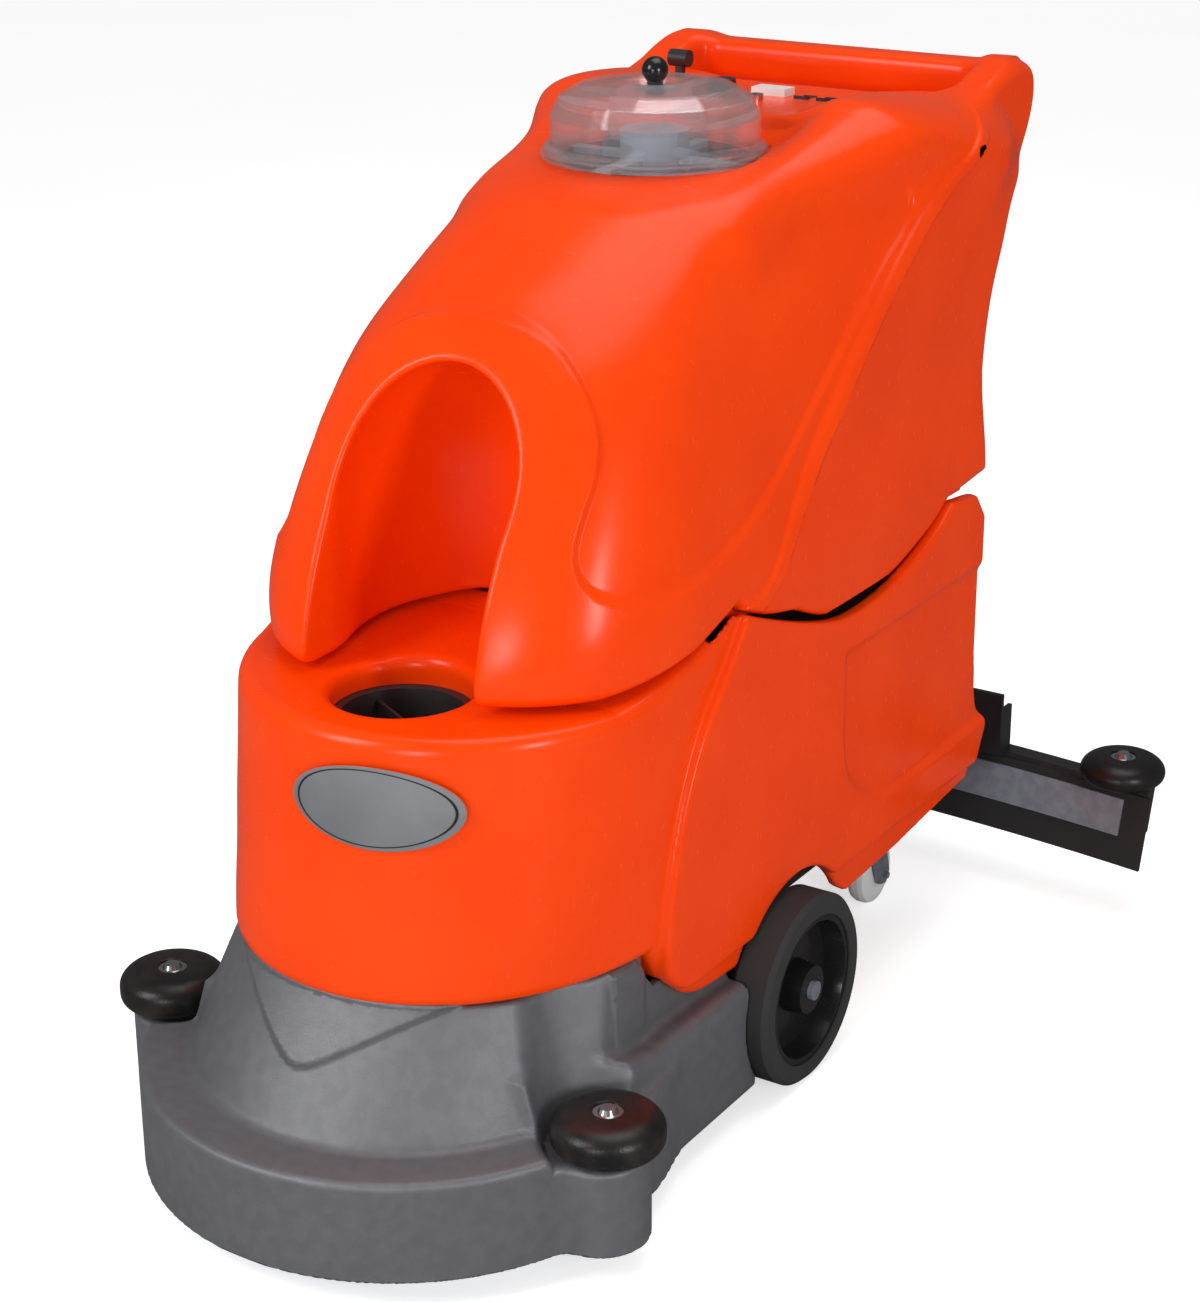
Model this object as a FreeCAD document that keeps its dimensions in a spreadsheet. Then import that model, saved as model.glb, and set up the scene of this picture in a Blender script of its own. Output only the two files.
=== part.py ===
"""Walk-behind floor scrubber: orange tanks on a chassis with two wheels, a scrubbing deck and a squeegee.

Units are millimetres. +Z is up, the machine's front faces -Y, its left is +X, and the floor is z = 0.
The wheel axle lies over y = 0 and the deck's brush axis stands at y = deck_y.
"""
import FreeCAD, Part
import math
import os
import re
import Sketcher
from FreeCAD import Placement, Rotation, Vector

doc = FreeCAD.newDocument("floor_scrubber")

SIZES = {
    # wheels and axle
    "wheel_radius": 100, "wheel_width": 44, "wheel_outer_x": 256, "rim_radius": 79, "hub_radius": 25,
    "axle_radius": 10, "running_gap": 0.05, "free_gap": 0.3,
    # tanks
    "wall": 6, "side_x": 226, "rear_y": 431, "tank_front_bottom": 238, "shelf_z": 487,
    "front_radius_low": 222, "front_radius_high": 203, "front_centre_y": -245, "seam_gap": 3,
    "floor_z": 206, "well_front_y": -140, "well_half": 200, "chamber_back_y": -148, "arch_radius": 120,
    "filler_y": -328, "filler_radius": 66, "alcove_y": -248, "alcove_radius": 103, "alcove_top": 770,
    "lid_y": 108, "lid_radius": 109, "lid_land": 14, "neck_radius": "=lid_radius - lid_land", "plateau_z": 905,
    "blade_inner_x": 168,
    "blade_outer_x": 214, "handle_y": 508, "handle_z": 932, "handle_radius": 22,
    # deck and brush
    "deck_y": -333, "deck_radius": 257, "deck_low": 28, "deck_ledge": 128, "deck_wall": 5,
    "dome_radius": 213, "dome_top_radius": 206, "dome_top_y": -256, "dome_back_y": -249,
    "saddle_x": 238, "roller_recess": 58, "brush_radius": 215, "brush_block_low": 58, "brush_block_high": 80,
    "plate_low": 118, "plate_high": 124, "motor_radius": 76, "motor_height": 104, "shaft_radius": 10,
    "gearbox_radius": 60, "gearbox_low": 98,
    # guide rollers
    "roller_x": 254, "roller_y": -382, "roller_radius": 52.5, "roller_low": 119, "roller_high": 156,
    "bolt_radius": 6, "washer_radius": 14, "tail_roller_inset": 43,
    "tail_roller_x": "=squeegee_half - tail_roller_inset", "tail_roller_y": 542, "tail_roller_radius": 48,
    "tail_roller_low": 152, "tail_roller_high": 182,
    # chassis
    "rail_x": 165, "rail_width": 30, "rail_low": 160, "rail_high": 200, "rail_front_y": -345,
    "rail_rear_y": 424, "rail_wall": 3, "bracket_plate": 6,
    # casters
    "caster_x": 120, "kingpin_y": 368, "caster_trail": 22, "caster_radius": 37.5, "caster_width": 26,
    "caster_top": 100, "kingpin_radius": 6, "caster_bolt_radius": 4,
    # squeegee
    "pivot_y": 300, "pivot_z": 133, "pivot_radius": 8, "squeegee_half": 404, "squeegee_y": 554,
    "squeegee_sag": 30, "squeegee_lean": 17, "channel_low": 98, "channel_high": 150, "blade_low": 64,
    "blade_thick": 4, "strip_thick": 2.5, "channel_depth": 22, "carrier_half": 213, "carrier_y": 538,
    "carrier_top": 226, "hose_radius": 18, "hose_bore": 15, "port_z": 405, "port_y": 478, "elbow_z": 236,
    "elbow_x": -42,
    # contents
    "battery_length": 330, "battery_width": 173, "battery_height": 196, "battery_gap": 8, "battery_y": 214,
    "valve_y": -158, "vacuum_radius": 70, "vacuum_height": 130, "vacuum_y": -58, "hinge_z": 515,
    "panel_y": 322, "panel_length": 250, "panel_depth": 120, "panel_thick": 6,
}

sheet = doc.addObject("Spreadsheet::Sheet", "Sizes")
for row, (word, number) in enumerate(SIZES.items(), start=1):
    sheet.set(f"A{row}", word)
    sheet.set(f"B{row}", str(number))
    sheet.setAlias(f"B{row}", word)
doc.recompute()


class SheetReader:
    """Reads a named size from the spreadsheet as a float."""

    def __getattr__(self, word):
        return float(sheet.get(word))


size = SheetReader()
nodes = []
FUNCTIONS = {"sin", "cos", "tan", "sqrt", "min", "max"}
X_AXIS = Rotation(Vector(0, 1, 0), 90)
Y_AXIS = Rotation(Vector(1, 0, 0), -90)
TURNS = {"x": X_AXIS, "y": Y_AXIS, "z": Rotation()}


def formula(text):
    """Turns a formula in size names into one that reads the sheet's cells."""
    return re.sub(r"[a-z][a-z_]+", lambda m: m[0] if m[0] in FUNCTIONS else "Sizes." + m[0], str(text))


def bind(item, prop, text):
    item.setExpression(prop, formula(text))


def place(item, base, axis="z"):
    """Puts an object's own origin at base and lays its own Z along axis."""
    item.Placement = Placement(Vector(), TURNS[axis])
    for letter, text in zip("xyz", base):
        bind(item, "Placement.Base." + letter, text)
    return item


def keep(item, label):
    """Marks an object as a finished sub-part, which gets a file of its own."""
    item.Label = label
    nodes.append(item)
    return item


def block(name, lengths, base):
    """A box centred on base in X and Y and standing on base in Z."""
    box = doc.addObject("Part::Box", name)
    for prop, text in zip(("Length", "Width", "Height"), lengths):
        bind(box, prop, text)
    return place(box, (f"({base[0]}) - ({lengths[0]}) / 2", f"({base[1]}) - ({lengths[1]}) / 2", base[2]))


def rod(name, radius, length, base, axis="z"):
    """A cylinder from base along axis."""
    cylinder = doc.addObject("Part::Cylinder", name)
    bind(cylinder, "Radius", radius)
    bind(cylinder, "Height", length)
    return place(cylinder, base, axis)


def cone(name, low_radius, high_radius, length, base, axis="z"):
    """A cone frustum from base along axis."""
    frustum = doc.addObject("Part::Cone", name)
    bind(frustum, "Radius1", low_radius)
    bind(frustum, "Radius2", high_radius)
    bind(frustum, "Height", length)
    return place(frustum, base, axis)


def fuse(name, pieces):
    joined = doc.addObject("Part::MultiFuse", name)
    joined.Shapes = pieces
    joined.Refine = True
    return joined


def cut(name, base, tools):
    result = doc.addObject("Part::Cut", name)
    result.Base = base
    result.Tool = tools[0] if len(tools) == 1 else fuse(name + "_tools", tools)
    result.Refine = True
    return result


def group(name, pieces):
    bundle = doc.addObject("Part::Compound", name)
    bundle.Links = pieces
    return bundle


def shaped(name, shape):
    """A sub-part whose shape is worked out from the sheet by this script."""
    feature = doc.addObject("Part::Feature", name)
    feature.Shape = shape
    feature.Placement = Placement()
    return feature


def profile_sketch(body, plane, points, name):
    """A closed polygon on one of the body's origin planes, each corner held by two bound dimensions."""
    sketch = body.newObject("Sketcher::SketchObject", name)
    origin_plane = next(f for f in body.Origin.OriginFeatures if f.Role == plane)
    sketch.AttachmentSupport = [(origin_plane, "")]
    sketch.MapMode = "FlatFace"
    count = len(points)
    for index in range(count):
        angle = 2 * math.pi * index / count
        following = angle + 2 * math.pi / count
        start = Vector(50 * math.cos(angle), 50 * math.sin(angle), 0)
        end = Vector(50 * math.cos(following), 50 * math.sin(following), 0)
        sketch.addGeometry(Part.LineSegment(start, end), False)
    for index in range(count):
        sketch.addConstraint(Sketcher.Constraint("Coincident", index, 2, (index + 1) % count, 1))
    for index, corner in enumerate(points):
        for kind, axis_line, text in zip(("DistanceX", "DistanceY"), (-2, -1), corner):
            if str(text) == "0":
                sketch.addConstraint(Sketcher.Constraint("PointOnObject", index, 1, axis_line))
                continue
            number = sketch.addConstraint(Sketcher.Constraint(kind, -1, 1, index, 1, 10.0))
            sketch.setExpression(f"Constraints[{number}]", formula(text))
    return sketch


def turned(name, points, base, axis="z", rounding=None):
    """A body turned about its own Z from a profile of (radius, height) corners."""
    body = doc.addObject("PartDesign::Body", name)
    sketch = profile_sketch(body, "XZ_Plane", points, name + "_profile")
    turn = body.newObject("PartDesign::Revolution", name + "_turn")
    turn.Profile = sketch
    turn.ReferenceAxis = (sketch, ["V_Axis"])
    turn.Angle = 360
    if rounding:
        doc.recompute()
        radius, test = rounding
        names = [f"Edge{i + 1}" for i, edge in enumerate(turn.Shape.Edges)
                 if hasattr(edge.Curve, "Radius") and edge.isClosed() and test(edge.Curve)]
        fillet = body.newObject("PartDesign::Fillet", name + "_round")
        fillet.Base = (turn, names)
        bind(fillet, "Radius", radius)
    return place(body, base, axis)


def extruded(name, plane, points, length, base, axis="z"):
    """A body padded both ways from a sketch of bound corners."""
    body = doc.addObject("PartDesign::Body", name)
    sketch = profile_sketch(body, plane, points, name + "_profile")
    pad = body.newObject("PartDesign::Pad", name + "_pad")
    pad.Profile = sketch
    pad.Midplane = True
    bind(pad, "Length", length)
    return place(body, base, axis)


def ring(name, outer, inner, length, base, axis="z"):
    """A plain tube along axis."""
    hole_base = list(base)
    index = "xyz".index(axis)
    hole_base[index] = f"({base[index]}) - 1"
    return cut(name, rod(name + "_rod", outer, length, base, axis),
               [rod(name + "_bore", inner, f"({length}) + 2", hole_base, axis)])


# ---------------------------------------------------------------- routes of held hoses and leads
def route_wire(points):
    """Straight runs joined by tangent arcs, each arc 0.45 of its shorter run over tan of half the turn."""
    corners = [Vector(*point) for point in points]
    edges = []
    radii = []
    here = corners[0]
    for before, corner, after in zip(corners, corners[1:], corners[2:]):
        incoming = (corner - before).normalize()
        outgoing = (after - corner).normalize()
        half_turn = incoming.getAngle(outgoing) / 2
        reach = 0.45 * min((corner - before).Length, (after - corner).Length)
        radii.append(reach / math.tan(half_turn))
        arc_start = corner - incoming * reach
        arc_end = corner + outgoing * reach
        inward = (outgoing - incoming).normalize()
        middle = corner + inward * (radii[-1] / math.cos(half_turn) - radii[-1])
        edges.append(Part.LineSegment(here, arc_start).toShape())
        edges.append(Part.Arc(arc_start, middle, arc_end).toShape())
        here = arc_end
    edges.append(Part.LineSegment(here, corners[-1]).toShape())
    return Part.Wire(edges), radii


def route_tube(points, radius, bore=0.0):
    """A round hose or lead along a route, hollow where it has a bore."""
    wire, radii = route_wire(points)
    start = Vector(*points[0])
    direction = Vector(*points[1]) - start
    solids = []
    for section_radius in (radius, bore):
        if section_radius > 0:
            section = Part.Wire(Part.makeCircle(section_radius, start, direction))
            solids.append(wire.makePipeShell([section], True, True))
    tube = solids[0].cut(solids[1]) if bore > 0 else solids[0]
    expected = math.pi * (radius ** 2 - bore ** 2) * wire.Length
    print(f"route length {wire.Length:.1f}, radii {[round(r, 1) for r in radii]}, volume ratio "
          f"{tube.Volume / expected:.4f}")
    return tube


# ---------------------------------------------------------------- tank shells
def front_curve(front_y, half_width, centre_y, fullness, z, count=16):
    """The rounded front of a plan section, from the left side round to the right side."""
    points = []
    for step in range(count + 1):
        angle = math.pi * (step / count - 0.5)
        across = abs(math.sin(angle)) ** (2 / fullness) * math.copysign(1, -angle)
        along = abs(math.cos(angle)) ** (2 / fullness)
        points.append(Vector(half_width * across, centre_y - (centre_y - front_y) * along, z))
    return points


def plan_section(z, front_y, half_width, centre_y, fullness, rear_y):
    """A closed plan section: rounded front, straight sides and a straight rear edge."""
    points = front_curve(front_y, half_width, centre_y, fullness, z)
    curve = Part.BSplineCurve()
    curve.interpolate(points)
    left_rear = Vector(half_width, rear_y, z)
    right_rear = Vector(-half_width, rear_y, z)
    return Part.Wire([curve.toShape(), Part.makeLine(points[-1], right_rear),
                      Part.makeLine(right_rear, left_rear), Part.makeLine(left_rear, points[0])])


def side_prism(outline, low_x, high_x):
    """Extrudes a closed side outline of (y, z) corners, or lists of them for a smooth run, across X."""
    edges = []
    for run in outline:
        points = [Vector(low_x, y, z) for y, z in run]
        if len(points) == 2:
            edges.append(Part.makeLine(points[0], points[1]))
        else:
            curve = Part.BSplineCurve()
            curve.interpolate(points)
            edges.append(curve.toShape())
    face = Part.Face(Part.Wire(edges))
    return face.extrude(Vector(high_x - low_x, 0, 0))


def box_between(low, high):
    return Part.makeBox(high[0] - low[0], high[1] - low[1], high[2] - low[2], Vector(*low))


SEAM = [(-480, size.shelf_z), (-280, size.shelf_z + 2), (-170, size.shelf_z + 20), (-99, size.shelf_z + 43)]
SEAM_SIDE = [(-99, size.shelf_z + 43), (-41, size.shelf_z + 19), (40, size.shelf_z - 10),
             (104, size.shelf_z - 26), (170, size.shelf_z - 28), (240, size.shelf_z - 18),
             (310, size.shelf_z + 5), (350, size.shelf_z + 28)]
UPPER_SECTIONS = [
    # (height above the shelf, front y, half width, centre y, fullness)
    (0, -366, 215, -160, 2.3), (43, -360, 224, -150, 2.5), (113, -336, 216, -140, 2.5),
    (213, -285, 200, -100, 2.4), (283, -238, 182, -60, 2.3), (322, -194, 170, -20, 2.2),
    (375, -100, 156, 40, 2.1), (418, -10, 146, 108, 2.0),
]


def lower_loft(inset, low_z, high_z):
    """The lower body's plan shape between two heights, inset all round."""
    sections = []
    for z in (130, size.tank_front_bottom, (size.tank_front_bottom + size.shelf_z) / 2, size.shelf_z, 545):
        share = (z - size.tank_front_bottom) / (size.shelf_z - size.tank_front_bottom)
        radius = size.front_radius_low + share * (size.front_radius_high - size.front_radius_low) - inset
        front_y = size.front_centre_y - radius
        side = size.side_x - inset
        sections.append(plan_section(z, front_y, side, size.front_centre_y + 40, 2.05, size.rear_y + 60))
    loft = Part.makeLoft(sections, True, False)
    return loft.common(box_between((-300, -600, low_z), (300, 600, high_z)))


def upper_loft(inset, rear_y, z_low=None, z_high=None):
    """The recovery tank's plan shape, inset all round."""
    sections = []
    for rise, front_y, half_width, centre_y, fullness in UPPER_SECTIONS:
        sections.append(plan_section(size.shelf_z + rise, front_y + inset, half_width - inset, centre_y,
                                     fullness, rear_y))
    low = plan_section(size.shelf_z - 40, UPPER_SECTIONS[0][1] + inset, UPPER_SECTIONS[0][2] - inset,
                       UPPER_SECTIONS[0][3], UPPER_SECTIONS[0][4], rear_y)
    loft = Part.makeLoft([low] + sections, True, False)
    if z_low is None:
        return loft
    return loft.common(box_between((-300, -600, z_low), (300, 700, z_high)))


def build_solution_tank():
    """Lower tank: a front solution chamber with a filler hole and an open well for the batteries."""
    gap = size.seam_gap / 2
    rear = size.rear_y
    underside = [[(-500, size.tank_front_bottom), (-246, size.tank_front_bottom)],
                 [(-246, size.tank_front_bottom), (-222, 200), (-180, 166), (-137, 155), (-90, 155)],
                 [(-90, 155), (120, 155)], [(120, 155), (141, 142)],
                 [(141, 142), (250, 147), (350, 156), (430, 163)], [(430, 163), (rear + 28, 218)]]
    back = [[(rear + 28, 218), (rear + 26, 230), (rear + 7, 256), (rear, 319)], [(rear, 319), (rear, 478)],
            [(rear, 478), (rear - 22, 506)], [(rear - 22, 506), (350, size.shelf_z + 28 - gap)]]
    seam_side = [(y, z - gap) for y, z in reversed(SEAM_SIDE)]
    seam_front = [(y, z - gap) for y, z in reversed(SEAM)]
    top = [seam_side, seam_front, [seam_front[-1], (-500, size.shelf_z - gap)],
           [(-500, size.shelf_z - gap), (-500, size.tank_front_bottom)]]
    body = lower_loft(0, 130, 545).common(side_prism(underside + back + top, -300, 300))
    inner = lower_loft(size.wall, 131, 544)
    well_low = size.floor_z + 19
    well = inner.common(box_between((-300, size.well_front_y, well_low), (300, rear - size.wall, 600)))
    half = size.well_half
    well = well.fuse(box_between((-half, size.well_front_y, size.floor_z), (half, rear - size.wall, well_low + 1)))
    tunnel = box_between((-half, -225, 100), (half, rear + 100, size.rail_high))
    chamber = inner.common(box_between((-300, -600, size.tank_front_bottom + size.wall),
                                       (300, size.chamber_back_y, size.shelf_z - size.wall - gap)))
    filler = Part.makeCylinder(size.filler_radius, 60, Vector(0, size.filler_y, size.shelf_z - 30))
    arch = Part.makeCylinder(size.arch_radius, 600, Vector(-300, 14, 95), Vector(1, 0, 0))
    arch = arch.common(box_between((-300, -200, 0), (-205, 200, 300)).fuse(
        box_between((205, -200, 0), (300, 200, 300))))
    return body.cut([well, tunnel, chamber, filler, arch])


def alcove(grow):
    """The scoop in the recovery tank's front above the filler hole."""
    radius = size.alcove_radius + grow
    column = Part.makeCylinder(radius, 170, Vector(0, size.alcove_y, size.shelf_z - 20))
    ball = Part.makeSphere(radius, Vector(0, 0, 0))
    matrix = FreeCAD.Matrix()
    matrix.scale(1, 1, (size.alcove_top + grow - size.shelf_z - 150) / radius)
    cap = ball.transformGeometry(matrix)
    cap.translate(Vector(0, size.alcove_y, size.shelf_z + 150))
    mouth_half = 88 + grow
    mouth = box_between((-mouth_half, -460, size.shelf_z - 20), (mouth_half, size.alcove_y, size.shelf_z + 150))
    return column.fuse([cap, mouth])


def build_recovery_tank():
    """Upper tank with its alcove, lid neck, dashboard recess, side blades and moulded handle."""
    gap = size.seam_gap / 2
    seam_front = [(y, z + gap) for y, z in SEAM]
    seam_side = [(y, z + gap) for y, z in SEAM_SIDE]
    rear_low = [[seam_side[-1], (444, size.shelf_z + 37)]]
    rear_up = [[(444, size.shelf_z + 37), (434, size.shelf_z + 130), (437, size.shelf_z + 226),
                (455, size.shelf_z + 290), (478, size.shelf_z + 345)]]
    plateau = size.plateau_z
    body_back = [[(478, size.shelf_z + 345), (410, plateau + 14)], [(410, plateau + 14), (236, plateau + 14)],
                 [(236, plateau + 14), (232, plateau)], [(232, plateau), (-500, plateau)],
                 [(-500, plateau), (-480, size.shelf_z + gap)]]
    body_side = side_prism([seam_front, seam_side] + rear_low + rear_up + body_back, -300, 300)
    core = upper_loft(0, 560).common(body_side)
    middle = side_prism([[(150, 700), (444, 700)], [(444, 700), (455, size.shelf_z + 290),
                                                    (478, size.shelf_z + 345)],
                         [(478, size.shelf_z + 345), (410, plateau + 14)],
                         [(410, plateau + 14), (236, plateau + 14)], [(236, plateau + 14), (150, 700)]],
                        -size.blade_inner_x - 1, size.blade_inner_x + 1)
    crease = [(-99, size.shelf_z + 43 + gap), (-40, size.shelf_z + 78), (24, size.shelf_z + 128),
              (101, size.shelf_z + 199), (179, size.shelf_z + 281), (262, size.shelf_z + 345)]
    crest = [(262, size.shelf_z + 345), (330, plateau - 8), (390, plateau + 10), (430, plateau + 40),
             (470, size.handle_z + 25), (500, size.handle_z + 26)]
    tail = [(500, size.handle_z + 26), (528, size.handle_z + 8), (531, size.handle_z - 22),
            (508, size.shelf_z + 378), (478, size.shelf_z + 345)]
    blade_rear = [(478, size.shelf_z + 345), (455, size.shelf_z + 290), (437, size.shelf_z + 226),
                  (434, size.shelf_z + 130), (444, size.shelf_z + 37)]
    blade_low = [(444, size.shelf_z + 37), seam_side[-1]]
    blade_seam = list(reversed(seam_side))
    outline = [crease, crest, tail, blade_rear, blade_low, blade_seam]
    left = side_prism(outline, size.blade_inner_x, size.blade_outer_x)
    right = side_prism(outline, -size.blade_outer_x, -size.blade_inner_x)
    bar = Part.makeCylinder(size.handle_radius, 2 * size.blade_inner_x + 10,
                            Vector(-size.blade_inner_x - 5, size.handle_y, size.handle_z), Vector(1, 0, 0))
    shell = core.fuse([middle, left, right, bar])
    wall = size.wall
    cavity_side = [(y, z + gap + wall) for y, z in SEAM_SIDE]
    cavity_front = [(y, z + gap + wall) for y, z in SEAM]
    cavity_prism = side_prism([cavity_front, cavity_side,
                               [cavity_side[-1], (428, size.shelf_z + 60)],
                               [(428, size.shelf_z + 60), (428, size.shelf_z + 230)],
                               [(428, size.shelf_z + 230), (440, size.shelf_z + 330)],
                               [(440, size.shelf_z + 330), (400, plateau - 14)],
                               [(400, plateau - 14), (228, plateau - 14)],
                               [(228, plateau - 14), (224, plateau - wall)],
                               [(224, plateau - wall), (-480, plateau - wall)],
                               [(-480, plateau - wall), (-480, size.shelf_z + gap + wall)]], -300, 300)
    cavity = upper_loft(wall, 560).common(cavity_prism)
    cavity = cavity.cut(alcove(wall))
    neck = Part.makeCylinder(size.neck_radius, 60, Vector(0, size.lid_y, plateau - 30))
    seat = Part.makeCylinder(size.lid_radius + 4, 30, Vector(0, size.lid_y, plateau - 3))
    return shell.cut([cavity, alcove(0), neck, seat])


def deck_solid(inset):
    """The deck cover's outside, or its inside when inset by the wall."""
    deck = Vector(0, size.deck_y, 0)
    drum_top = size.deck_ledge - inset
    drum = Part.makeCylinder(size.deck_radius - inset, drum_top - size.deck_low + inset,
                             deck + Vector(0, 0, size.deck_low - inset))
    dome_low = Part.Wire(Part.makeCircle(size.dome_radius - inset, Vector(0, size.deck_y + 8, drum_top - 1)))
    dome_high = Part.Wire(Part.makeCircle(size.dome_top_radius - inset,
                                          Vector(0, size.dome_top_y, size.tank_front_bottom - size.free_gap - inset)))
    dome = Part.makeLoft([dome_low, dome_high], True, False)
    dome = dome.common(box_between((-300, -600, 0), (300, size.dome_back_y + 3 * inset, 300)))
    saddle = size.saddle_x - inset
    back = -75 - inset
    skirt = side_prism([[(-414, size.deck_low - inset), (back, size.deck_low - inset)],
                        [(back, size.deck_low - inset), (back, 143 - inset)],
                        [(back, 143 - inset), (-262, 151 - inset), (-400, 180 - inset)],
                        [(-400, 180 - inset), (-414, 174 - inset)],
                        [(-414, 174 - inset), (-414, size.deck_low - inset)]], -saddle, saddle)
    front = Part.makeCylinder(size.deck_radius - inset, 300, deck)
    skirt = skirt.common(front.fuse(box_between((-300, size.deck_y, 0), (300, 0, 300))))
    shape = drum.fuse([dome, skirt])
    for side in (-1, 1):
        roller = Vector(side * size.roller_x, size.roller_y, 0)
        seat_z = size.roller_low - 1
        inner = Vector(-side * 8, 0, size.deck_low - inset)
        lobe = Part.makeCylinder(46 - inset, seat_z - size.deck_low, roller + inner)
        recess = Part.makeCylinder(size.roller_recess + inset, 200, roller + Vector(0, 0, seat_z - inset))
        shape = shape.fuse(lobe).cut(recess)
    return shape


def build_deck_cover():
    """Grey deck cover: a drum skirt, a dome under the front tank and side skirts back to the wheels."""
    shell = deck_solid(0).cut(deck_solid(size.deck_wall))
    for side in (-1, 1):
        roller = Vector(side * size.roller_x, size.roller_y, 0)
        boss = Part.makeCylinder(16, 60, roller + Vector(0, 0, size.roller_low - 61))
        hole = Part.makeCylinder(size.bolt_radius + size.running_gap, 90,
                                 roller + Vector(0, 0, size.roller_low - 80))
        shell = shell.fuse(boss).cut(hole)
    passage = box_between((-196, size.dome_back_y - 1, 90), (196, -60, 250))
    wheel_room = Part.makeCylinder(size.wheel_radius + 4, 600, Vector(-300, 0, size.wheel_radius), Vector(1, 0, 0))
    return shell.cut([passage, wheel_room])


def build_badge():
    """A plain oval plate, 1.5 mm thick, bent to the front of the lower tank."""
    angle_middle = math.radians(15)
    middle_z = 425
    oval = Part.Ellipse(Vector(0, 0, 0), 82, 38).toShape()
    face = Part.Face(Part.Wire(oval))
    face.rotate(Vector(), Vector(1, 0, 0), 90)
    slab = face.extrude(Vector(0, -160, 0))
    slab.translate(Vector(0, 0, middle_z))
    slab.rotate(Vector(), Vector(0, 0, 1), math.degrees(angle_middle))
    slab.translate(Vector(0, size.front_centre_y, 0).add(Vector(140 * math.sin(angle_middle),
                                                                -140 * math.cos(angle_middle), 0)))
    skin = lower_loft(-1.8, 300, 480).cut(lower_loft(-0.3, 299, 481))
    return skin.common(slab)


# ---------------------------------------------------------------- shells and covers
keep(shaped("solution_tank", build_solution_tank()), "solution_tank")
keep(shaped("recovery_tank", build_recovery_tank()), "recovery_tank")
keep(shaped("deck_cover", build_deck_cover()), "deck_cover")
keep(shaped("badge_plate", build_badge()), "badge_plate")

# ---------------------------------------------------------------- filler strainer in the lower tank's shelf
strainer_top = "shelf_z - seam_gap / 2"
strainer_radius = "filler_radius - free_gap"
keep(turned("filler_strainer", [
    ("filler_radius - 9", strainer_top + " - 6"), (strainer_radius, strainer_top + " - 6"),
    (strainer_radius, strainer_top + " - 24"), ("filler_radius - 14", strainer_top + " - 24"),
    ("filler_radius - 14", strainer_top + " - 84"), ("12", strainer_top + " - 84"),
    ("12", strainer_top + " - 81"), ("filler_radius - 17", strainer_top + " - 81"),
    ("filler_radius - 17", strainer_top + " - 20")],
    ("0", "filler_y", "0")), "filler_strainer")

# ---------------------------------------------------------------- chassis
rails = []
for side in ("", "-"):
    tag = "right" if side else "left"
    x = f"{side}rail_x"
    length = "rail_rear_y - rail_front_y"
    middle = "(rail_rear_y + rail_front_y) / 2"
    outer = block(f"rail_outer_{tag}", ("rail_width", length, "rail_high - rail_low"), (x, middle, "rail_low"))
    bore = block(f"rail_bore_{tag}", ("rail_width - 2 * rail_wall", f"({length}) + 2",
                                      "rail_high - rail_low - 2 * rail_wall"),
                 (x, middle, "rail_low + rail_wall"))
    rails.append(cut(f"rail_{tag}", outer, [bore]))
cross_length = "2 * rail_x - rail_width"
for name, y in (("front", "valve_y + 33"), ("middle", "60"), ("pivot", "pivot_y"), ("rear", "rail_rear_y - 15")):
    rails.append(block(f"cross_{name}", (cross_length, "30", "rail_high - rail_low - 10"),
                       ("0", y, "rail_low + 5")))
for side in ("", "-"):
    tag = "right" if side else "left"
    plate = block(f"bracket_blank_{tag}", ("bracket_plate", "90", "rail_low - 76"), (f"{side}rail_x", "0", "76"))
    hole = rod(f"bracket_hole_{tag}", "axle_radius", "60", (f"{side}rail_x - 30", "0", "wheel_radius"), "x")
    rails.append(cut(f"bracket_{tag}", plate, [hole]))
    rails.append(block(f"caster_leg_{tag}", ("60", "60", "rail_low - caster_top - 4 + 5"),
                       (f"{side}(caster_x)", "kingpin_y", "caster_top + 4")))
    rails.append(block(f"caster_tie_{tag}", ("70", "50", "20"), (f"{side}(rail_x - 20)", "kingpin_y", "rail_low")))
    rails.append(block(f"deck_post_{tag}", ("8", "90", "rail_low - plate_high"),
                       (f"{side}(rail_x - 5)", "deck_y", "plate_high")))
    rails.append(block(f"pivot_ear_{tag}", ("8", "34", "rail_low + 10 - pivot_z + 16"),
                       (f"{side}(60)", "pivot_y", "pivot_z - 16")))
plate = rod("deck_plate_blank", "185", "plate_high - plate_low", ("0", "deck_y", "plate_low"))
plate_hole = rod("deck_plate_hole", "shaft_radius + 12", "40", ("0", "deck_y", "plate_low - 10"))
hose_hole = rod("deck_hose_hole", "4", "40", ("90", "deck_y + 60", "plate_low - 10"))
rails.append(cut("deck_plate", plate, [plate_hole, hose_hole]))
frame_blank = fuse("frame_blank", rails)
ear_bore = rod("ear_bore", "pivot_radius", "200", ("-100", "pivot_y", "pivot_z"), "x")
keep(cut("chassis_frame", frame_blank, [ear_bore]), "chassis_frame")

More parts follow.
